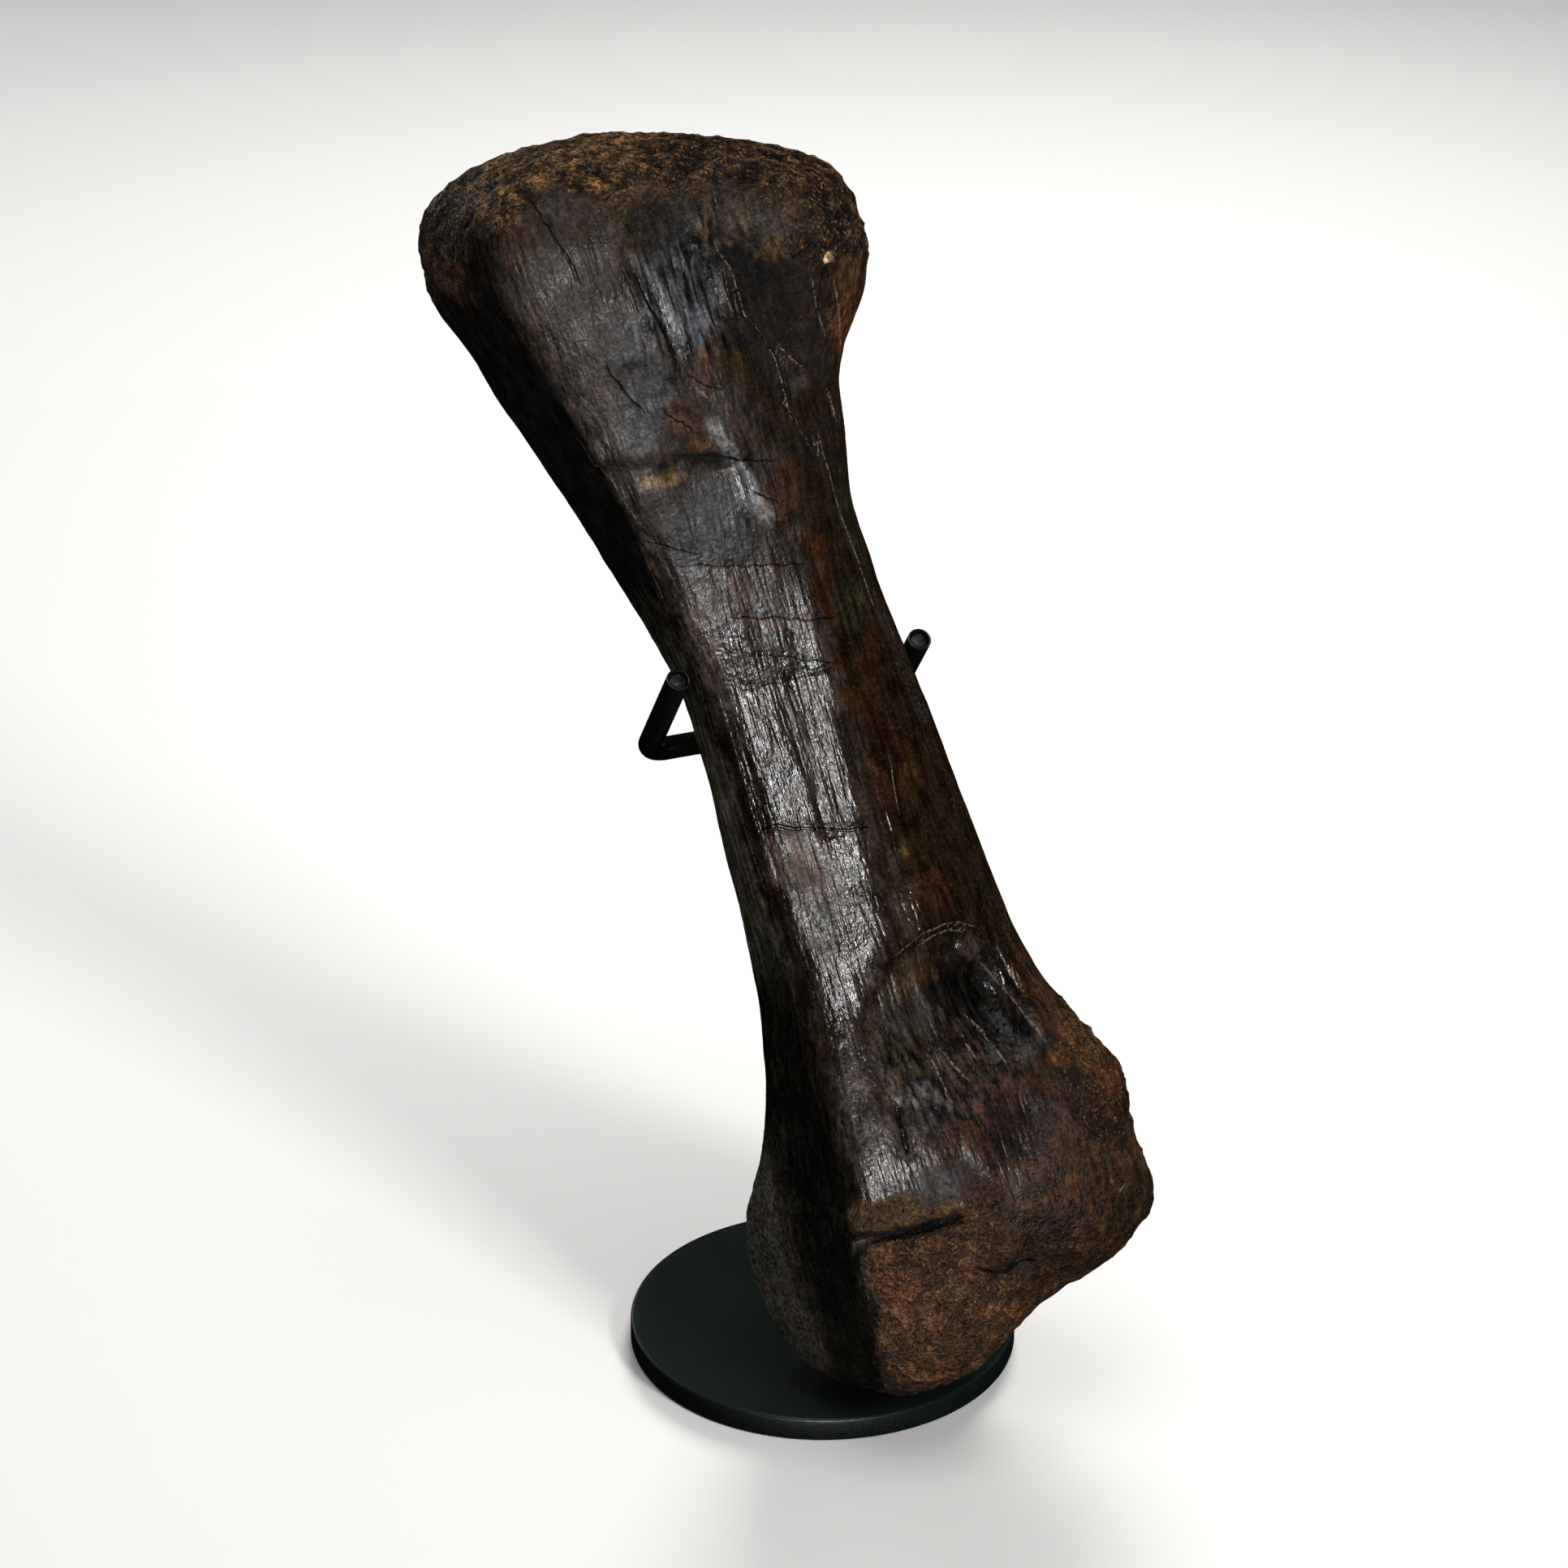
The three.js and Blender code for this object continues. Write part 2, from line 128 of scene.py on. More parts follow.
def finished(obj, name, materials, nodes):
    """Names a piece, gives it its finish, and lets it stand for CAD nodes."""
    obj.name = name
    obj.data.name = name
    for place, material in enumerate(materials):
        if place < len(obj.data.materials):
            obj.data.materials[place] = material
        else:
            obj.data.materials.append(material)
    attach(obj, "root")
    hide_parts(*nodes)
    return obj


def node_copy(node):
    """A copy of a CAD node with its loose triangles joined into one skin of quads."""
    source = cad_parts[node]
    copy = source.copy()
    copy.data = source.data.copy()
    copy.parent = None
    bpy.context.collection.objects.link(copy)
    only(copy)
    bpy.ops.object.mode_set(mode="EDIT")
    bpy.ops.mesh.select_all(action="SELECT")
    bpy.ops.mesh.remove_doubles(threshold=MERGE)
    bpy.ops.mesh.tris_convert_to_quads(face_threshold=1.0, shape_threshold=1.5)
    bpy.ops.object.mode_set(mode="OBJECT")
    return copy


# ---- Bone: relief ----

# Lines in the u-w plane of the front face, from one end to the other.
CRACKS = [
    [(-27, 321), (-24, 312), (-22, 306), (-21.3, 301)],
    [(-21.3, 277), (-20.3, 273.8), (-18.3, 267.3), (-16.8, 265.5)],
    [(-11.8, 262.8), (-6.9, 257)],
    [(-8.2, 296), (-6.9, 287), (-5.7, 280), (-5.3, 275)],
    [(-12, 251.4), (-4, 248.2), (3, 245.4), (9, 242.6)],
    [(-3.5, 270), (-1, 266), (2.5, 264)],
    [(12.5, 279), (15.4, 273), (17.4, 266), (17.2, 258)],
    [(15.6, 254.5), (17.3, 249.2), (19.4, 239.9)],
    [(-25.5, 233), (-20, 229.5), (-15, 226.5)],
    [(-15.5, 223.5), (-4, 219.5), (8, 216)],
    [(3, 237), (7, 233)],
    [(-10, 208), (-1, 205), (5, 202.5), (11, 200.5)],
    [(-9, 198), (0, 194), (8.5, 190)],
    [(-12, 190), (-4, 189.5), (6, 188)],
    [(-20.5, 155.5), (-16, 155), (-12, 153), (-8, 152), (-4, 150.2), (4, 148)],
    [(-8.5, 80), (-8.8, 75), (-9, 70)],
    [(-1, 35), (3, 32), (6, 30.5), (9, 31.5), (12, 31)],
    [(-23, 50.2), (-17, 49.7), (-11, 48.9), (-6, 48.4), (-2, 48.5)],
    [(34, 283), (30.5, 276), (28.5, 270)],
]
CRACK_WIDTHS = [0.28, 0.25, 0.18, 0.45, 0.3, 0.18, 0.25, 0.25, 0.18, 0.18, 0.2, 0.25, 0.15, 0.15, 0.42,
                0.7, 0.6, 1.1, 0.2]

# Thin bright lines, path and half width: scratches, and painted glints along raised edges, ribs and fibres.
SCRATCHES_AND_GLINTS = [
    ([(-1.9, 256), (1.4, 249.2)], 0.6),
    ([(1.1, 247), (2.4, 242), (2.3, 236.5), (3, 233), (4.8, 230)], 0.6),
    ([(11.5, 296), (13.3, 290), (13.2, 278), (15.1, 274.4), (16.2, 270), (16.9, 266), (16.6, 260),
      (16.2, 254), (17.3, 250)], 0.25),
    ([(9.6, 290), (10.2, 281)], 0.3),
    ([(19.5, 267.4), (21.9, 262.4)], 0.3),
    ([(31.3, 282), (30, 275), (30.1, 269)], 0.25),
    ([(36, 279), (34.5, 270), (32, 261)], 0.3),
    ([(15.6, 254.5), (17.3, 249.2), (19.4, 240)], 0.35),
    ([(26.5, 253), (26.3, 246)], 0.45),
    ([(21, 244), (20.5, 224), (21, 212), (21.5, 199)], 0.3),
    ([(-2.8, 266), (-1.2, 263.5)], 0.5),
    ([(14.5, 162), (13, 150)], 0.2),
    ([(3.2, 115.8), (9.9, 118.3), (15.4, 118.3), (19.4, 117.3), (22.3, 114.6)], 0.28),
    ([(9, 115.4), (12.5, 116.4), (16, 116.2), (19.5, 114.2)], 0.25),
    ([(21.6, 103.7), (23.8, 98.3), (27.4, 90.5), (30.5, 83)], 0.4),
    ([(15.2, 93), (17.5, 88.6)], 0.5),
    ([(17.5, 87.6), (20.3, 80.3)], 0.3),
    ([(11.7, 89.4), (13.1, 84.4)], 0.35),
    ([(6.1, 87.4), (9.5, 80.6)], 0.45),
    ([(2.7, 88.1), (4.2, 79.2)], 0.35),
    ([(36.2, 286.7), (36.5, 285.8)], 0.75),
    ([(38, 39.2), (39, 39.9)], 0.5),
    ([(-33.5, 262), (-28.6, 249), (-26, 238)], 0.35),
    ([(-24.5, 200), (-25, 170), (-24, 140)], 0.25),
    ([(-28.5, 186), (-28, 160), (-27, 128)], 0.25),
    ([(-27.5, 232), (-26.5, 214)], 0.25),
]

RIBS = [
    # path, half width, height
    ([(10, 307), (9, 298), (10.5, 287), (11, 279)], 1.4, 0.9),
    ([(13.3, 291), (13.2, 278), (16.2, 270), (16.9, 264), (16.4, 254)], 0.9, 0.5),
    ([(8.2, 300), (9.6, 290), (10.2, 281)], 0.9, 0.5),
    ([(3, 304), (2.5, 292), (4, 280), (7, 272)], 1.1, 0.45),
    ([(-2, 300), (-3, 290), (-2, 280), (1, 272)], 1.1, 0.4),
    ([(-9, 296), (-9.5, 284), (-8, 272)], 1.4, 0.5),
    ([(-41, 304), (-39, 290), (-35.5, 275), (-32.5, 263), (-29, 251), (-27.5, 238)], 1.3, 0.35),
    ([(-1.9, 256), (1.4, 249), (1.1, 247), (2.4, 242), (2.3, 236.5), (3, 233), (4.8, 230)], 1.3, 0.8),
    ([(-12.2, 264.8), (-3.6, 262.3), (-5.3, 251.7)], 1.0, 0.4),
    ([(21, 246), (19.5, 224), (20.5, 212), (21, 199)], 0.7, 0.45),
    ([(8, 208), (6.5, 190), (4.5, 171), (1.5, 140), (-1, 120)], 4.6, 0.9),
    ([(3.2, 115.8), (9.9, 118.4), (15.4, 118.4), (19.4, 117.4), (22.3, 114.6)], 0.9, 0.5),
    ([(9, 115.4), (12.5, 116.4), (16, 116.2), (19.5, 114.2)], 0.7, 0.4),
    ([(18.6, 109.9), (21.6, 103.7), (23.8, 98.3), (27.4, 90.5), (30.5, 83.1)], 1.5, 0.7),
    ([(15.2, 93), (17.5, 88.6), (20.3, 80.3)], 0.9, 0.6),
    ([(11.7, 89.4), (13.1, 84.4), (15, 79)], 0.9, 0.5),
    ([(2.7, 88.1), (4.2, 79.2)], 0.9, 0.4),
    ([(6.1, 87.4), (9.5, 80.6)], 0.9, 0.4),
]

GROOVES = [
    # path, half width, depth
    ([(-0.6, 190), (-1.2, 183), (-2.3, 174), (-3.5, 162), (-4.8, 150)], 2.4, 0.5),
    ([(-20, 196), (-19.5, 180), (-20, 160), (-20, 140)], 2.2, 0.3),
    ([(-27, 50.9), (-22, 50.5), (-17, 50.1), (-11, 49.4), (-6, 48.9), (-1.5, 49)], 1.6, 3.0),
    ([(-16, 251.4), (-11.2, 250.4), (-4, 247.6), (0, 246.6)], 1.3, 0.8),
    ([(-8.6, 81), (-8.8, 75), (-9, 69)], 1.3, 1.1),
    ([(6.5, 300), (6, 290), (7.5, 280)], 1.6, 0.6),
    ([(12, 300), (12.5, 290), (13.5, 281)], 1.5, 0.8),
    ([(-6.5, 296), (-6, 286), (-4.5, 276)], 1.6, 0.5),
    ([(-13, 64), (-7, 60), (0, 57)], 4.0, 0.5),
]

DENTS = [
    # at, half sizes, turn, depth
    ((-5.8, 247.8), (4.4, 1.5), -14, 1.6),
    ((-15.7, 249.6), (1.6, 2.2), 0, 1.4),
    ((18.5, 95), (13.5, 6.5), -58, 2.0),
    ((15.5, 111.7), (2.4, 1.8), 0, 0.9),
    ((-2, 304), (6.5, 7.5), 0, 1.3),
    ((18, 280), (6, 12), 14, 1.0),
    ((36.3, 286.3), (1.1, 1.1), 0, 0.5),
    ((41.6, 293.4), (2.4, 2.4), 0, 0.8),
    ((17.5, 155), (2.5, 4.0), 0, 0.6),
    ((19, 64), (9, 6.5), -8, 1.0),
    ((6, 31.5), (5, 2.2), -12, 1.5),
    ((2, 60), (3.5, 5), 0, 0.7),
    ((38, 59), (3.0, 2.6), 0, 1.2),
]

LEDGES = [
    # a step up on the left side of the path, full at the path and gone by the reach
    ([(25.5, 103), (23.6, 110), (22.4, 114.3), (19.4, 117), (15.4, 118), (9.9, 117.9), (3.2, 115.5),
      (-2.3, 111.2), (-5, 108.5)], 16.0, -1.0),
    ([(-6.5, 111), (-7, 104), (-8.5, 97)], 5.0, -0.3),
    ([(-27, 52.4), (-22, 52), (-17, 51.6), (-10, 51), (-5, 50.5), (-1, 50.4)], 9.0, 1.2),
    ([(-30, 254.7), (-26, 254.2), (-19, 252.9), (-11, 251.5), (-4, 248.6), (1, 247.2)], 10.0, 0.7),
    ([(-21.3, 277), (-18.3, 267.3), (-14, 261.6), (-12.4, 258)], 6.0, 0.5),
    ([(-15.1, 265.8), (-11.5, 262.5), (-6.9, 257)], 5.0, -0.4),
    ([(-1.9, 257), (1.4, 249), (2.4, 242), (4.8, 230)], 5.0, 0.4),
    ([(-27, 321), (-24, 312), (-22, 306), (-21, 299)], 7.0, 0.5),
]

DULL = [
    # at, half sizes, turn, how much less gloss
    ((-4.5, 174), (2.4, 24), 4, 0.5),
    ((-16.5, 147), (6.5, 8), 0, 0.55),
    ((-11.5, 141), (6, 12), 6, 0.55),
    ((-14, 129), (6.5, 13), 0, 0.6),
    ((1, 172), (4, 22), 4, 0.15),
    ((24, 112), (5, 10), 0, 0.5),
    ((-2, 59), (9, 5), 0, 1.0),
    ((-5.8, 247.8), (5, 2.2), -14, 2.0),
    ((-15.7, 249.6), (2, 2.6), 0, 2.0),
    ((-12, 251), (14, 1.4), -10, 1.2),
    ((-12.5, 49.7), (14, 1.8), -4, 2.0),
    ((4, 104), (10, 11), 0, 0.9),
    ((-2, 306), (8, 8), 0, 1.2),
    ((20, 280), (9, 20), 12, 1.6),
    ((-7.5, 258), (5, 7), 10, 0.9),
    ((20, 60), (24, 26), 0, 0.4),
    ((-16, 55), (13, 4), -10, 1.0),
]

SHINE = [
    # at, half sizes, turn, how much more gloss
    ((1.8, 243), (2.4, 15), -10, 1.0),
    ((-4, 246), (4, 2), -14, 0.5),
    ((1, 289), (7, 12), 4, 0.3),
    ((-14, 197), (6, 11), 0, 0.45),
    ((-2, 198), (8, 8), 0, 0.3),
    ((-8, 116), (5, 9), 0, 0.4),
]

# Lower edge of the rough crust on the head, and upper edge of the one on the knuckles.
HEAD_CRUST = [(-64, 302), (-50, 304), (-42, 316), (-31, 318), (-22, 322), (-15, 318), (-9, 314),
              (0, 317), (6, 311), (11, 302), (19, 296), (27, 291), (36, 285), (50, 280)]
KNUCKLE_CRUST = [(-64, 24), (-45, 20), (-34, 30), (-29, 47), (-22, 50.6), (-10, 49.6), (-1, 49.8),
                 (6, 58), (14, 50), (20, 62), (28, 74), (36, 84), (52, 88)]

# Where the front face turns into the left flank, which is painted dark as shade: w, then u of that edge.
FLANK_EDGE = [(12, -33), (20, -32), (30, -28), (38, -27), (51, -28), (60, -27), (70, -27), (110, -27.5),
              (150, -27), (186, -26), (205, -26), (222, -27), (246, -28), (255, -30.5), (264, -33),
              (273, -35), (283, -37), (290, -39), (300, -40.5), (308, -42), (322, -41)]

# Ovals in the u-w plane: middle, half sizes, turn, then raggedness, softness, grain and seed.
HOLLOW = ((3, 290), (15, 17), 8, 0, 0.3)
FAN = ((8, 88), (17, 16), 0, 0, 0.3)
WRINKLES = ((15, 301), (17, 9), -16, 0.3, 0.35, 4, 26)
BURR = ((3, 309), (15, 9), -8, 0.4, 0.4, 4, 24)
RIM = ((40, 70), (8, 20), 0, 0.35, 0.3, 5, 14)
LEDGE_CRUST = ((-14.5, 55), (12.5, 4.2), -10, 0.3, 0.3, 4, 27)
FLAKED_FACE = ((-16, 262), (17, 22), 10, 0.25, 0.3, 6, 8)
GOLD_ON_LEFT = ((-33, 322), (9, 6), 0, 0.4, 0.4, 5, 71)
GOLD_IN_MIDDLE = ((-5, 323), (15, 6), -6, 0.4, 0.4, 5, 72)

# The dip along a crack: its depth for each millimetre of half width, half breadth and reach.
CRACK_DEPTH, CRACK_BREADTH, CRACK_REACH = 0.8, 0.8, 4

# How far each noise is drawn out along the bone, as a factor on its w.
STRAND_DRAW, RIPPLE_DRAW = 0.09, 0.14


def line_level(u, path):
    places, levels = zip(*path)
    return np.interp(u, places, levels)


def left_flank(points, normals):
    """How much each point lies on the left flank, which the colours paint dark as shade; its edge is crisp
    except along the shaft.
    """
    u, _, w = points.T
    turned = smoothstep(-normals[:, 0], 0.5, 0.66)
    over = smoothstep(line_level(w, FLANK_EDGE) - u + 1.2 * lumps(points, 3, 19, 2), -0.6, 0.6)
    front = smoothstep(-normals[:, 1], 0.1, 0.35)
    front *= 1 - smoothstep(w, 100, 125) * (1 - smoothstep(w, 165, 190))
    return turned * (1 - front) + over * front


def crust_map(points, normals, front, flank, grit):
    """How much each point lies on rough crust, and on the wrinkled skin at the head's right."""
    u, _, w = points.T
    wander = 2.6 * lumps(points, 9, 4, 2)
    behind = smoothstep(normals[:, 1], -0.1, 0.3)
    head = w - line_level(u, HEAD_CRUST) + (1 + 1.2 * behind) * wander + 1.6 * grit
    head = smoothstep(head / (1 + 1.5 * behind), -2.4, 2.4)
    edge_softness = np.where(u > 2, 7.0, 1.2) + 4 * behind
    knuckle = smoothstep((line_level(u, KNUCKLE_CRUST) - w + 0.7 * wander) / edge_softness, -1, 1)
    knuckle *= 1 - 0.8 * flank * smoothstep(w, 4, 9)
    knuckle *= 1 - 0.65 * front * smoothstep(u + wander, 4, 12) * smoothstep(w, 16, 30)
    rim = patch(points, *RIM)
    burr = 0.65 * front * patch(points, *BURR)
    lobe = 0.45 * flank * smoothstep(-u, 40, 48) * smoothstep(w, 85, 60)
    ledge = 0.6 * front * patch(points, *LEDGE_CRUST)
    crust = np.maximum.reduce([head, 0.85 * knuckle, 0.85 * rim, burr, lobe, ledge])
    wrinkled = front * patch(points, *WRINKLES)
    return crust * (1 - 0.8 * wrinkled), wrinkled


def drawn_relief(points, front, jitter):
    """The height of the ribs, grooves, dents, ledges and cracks of the tables."""
    height = np.zeros(len(points))
    for path, width, rise in RIBS:
        away, _ = outline_distance(points, path)
        height += front * rise * np.exp(-((away / width) ** 2))
    for path, width, depth in GROOVES:
        away, _ = outline_distance(points, path)
        height -= front * depth * np.exp(-((away / width) ** 2))
    for at, size, turn, depth in DENTS:
        height -= front * depth * patch(points, at, size, turn, soft=0.45)
    for path, reach, rise in LEDGES:
        away, side = outline_distance(points, path)
        height += front * rise * smoothstep(away * side, -1, 1) * (1 - smoothstep(away, 0, reach))
    for path, width in zip(CRACKS, CRACK_WIDTHS):
        away, side = outline_distance(points, path)
        signed = away * side + jitter
        dip = np.exp(-((signed / CRACK_BREADTH) ** 2)) * (away < CRACK_REACH)
        height -= front * CRACK_DEPTH * width * dip
    return height


def gloss_map(points, front, crust, hollow, fan, strands):
    """How polished each point is: from 1 on the middle of the shaft to -1 where it is dull."""
    w = points[:, 2]
    drift = 9 * lumps(points, 12, 17, 2)
    ragged = w + drift - 9 * np.clip(strands, -0.8, 0.8)
    gloss = 1.0 - 0.9 * smoothstep(ragged, 184, 216)
    gloss -= 0.3 * smoothstep(w, 215, 235)
    gloss -= 0.35 * smoothstep(-w + drift, -114, -90)
    gloss += 0.35 * hollow - 0.2 * fan + 0.3 * lumps(points, 7, 12, 2)
    for at, size, turn, amount in SHINE:
        gloss += amount * front * patch(points, at, size, turn, 0.3, 0.4, 4, 25)
    for at, size, turn, amount in DULL:
        gloss -= amount * front * patch(points, at, size, turn, 0.3, 0.4, 4, 15)
    return np.clip(gloss, -1, 1) * (1 - crust)


def bone_relief(points, normals):
    """How far each point stands proud of the bare form, and the finish maps that go with it."""
    front = smoothstep(-normals[:, 1], 0.05, 0.4)
    fine = lumps(points, 4.5, 2, 2)
    grit = lumps(points, 1.9, 3, 2)
    along = points * np.array([1, 1, STRAND_DRAW])
    strands = lumps(along, 1.6, 5, 2)
    broad_strands = lumps(along, 4.2, 6, 1)

    flank = left_flank(points, normals)
    crust, wrinkled = crust_map(points, normals, front, flank, grit)
    hollow = front * patch(points, *HOLLOW)
    fan = front * patch(points, *FAN)
    fibre = np.clip(0.3 + hollow + fan + wrinkled, 0, 1) * (1 - crust)

    relief = 0.22 * lumps(points, 14, 1, 2) + 0.1 * fine + 0.4 * lumps(points, 24, 16)
    relief += 0.16 * lumps(points * np.array([1, 1, RIPPLE_DRAW]), 5, 13, 2)
    pits = np.maximum(0, -lumps(points, 3.4, 11, 1) - 0.25)
    ridged = 1 - 2 * np.abs(lumps(points * np.array([1.0, 1.0, 1.5]), 6.5, 18, 2))
    relief += crust * (0.1 + 0.6 * fine + 0.25 * grit + 0.6 * lumps(points, 10, 7, 2) + 0.55 * ridged)
    relief -= crust * 1.1 * pits
    # The crust's fine height, used only for the painted highlight and shade in the colours.
    crest = 0.5 * fine + 0.5 * grit + 0.5 * (ridged - 0.5) - 1.2 * pits
    relief += (fibre + 2.2 * wrinkled) * (0.3 * strands + 0.16 * broad_strands)

    flakes = front * (1 - crust) * patch(points, *FLAKED_FACE)
    relief += flakes * 0.55 * np.round(1.6 * lumps(points * np.array([1.3, 1, 0.8]), 6, 9, 1)) / 1.6
    jitter = 0.5 * lumps(points, 3.2, 10, 2)
    relief += drawn_relief(points, front, jitter)

    shown = smoothstep(front, 0.4, 0.7)
    crack_side, crack_near = line_maps(points, CRACKS, CRACK_WIDTHS, jitter)
    scratch_glint_side, scratch_glint_near = line_maps(points, *zip(*SCRATCHES_AND_GLINTS), 0.3 * jitter)
    gloss = gloss_map(points, front, crust, hollow, fan, strands)
    maps = {"crust": crust, "fibre": fibre, "gloss": gloss, "crest": crest, "strands": strands,
            "flank": flank, "crack_side": crack_side, "crack_near": crack_near * shown,
            "scratch_glint_side": scratch_glint_side, "scratch_glint_near": scratch_glint_near * shown}
    return relief, maps


# ---- Bone: colours ----

def paint(red, green, blue):
    """A colour given as on screen, made linear."""
    return np.array([((c / 255 + 0.055) / 1.055) ** 2.4 if c > 10 else c / 255 / 12.92
                     for c in (red, green, blue)])


CORTEX = paint(42, 34, 29)
CORTEX_GREY = paint(58, 51, 47)
UMBER = paint(31, 22, 13)
OCHRE = paint(86, 63, 32)
ORANGE = paint(88, 53, 22)
RUST = paint(50, 26, 9)
RED_BROWN = paint(48, 25, 15)
OLIVE = paint(30, 29, 18)
SLATE = paint(52, 55, 58)
VIOLET = paint(25, 16, 17)
SALMON = paint(78, 54, 40)
BLACK = paint(10, 10, 9)
# The two colours below are painted shade on the left flank.
FLANK_SHADE = paint(22, 20, 15)
LOW_FLANK_SHADE = paint(18, 25, 20)
# The two colours below are painted light on the left flank: rim light on its low part, and streaks of sheen
# along the shaft.
FLANK_RIM_LIGHT = paint(66, 72, 64)
FLANK_SHEEN = paint(84, 82, 70)
EARTH = paint(64, 51, 37)
HONEY = paint(60, 43, 19)
KNUCKLE = paint(94, 61, 37)
RIDGE_HIGHLIGHT = paint(122, 124, 126)
SPECK = paint(235, 196, 150)
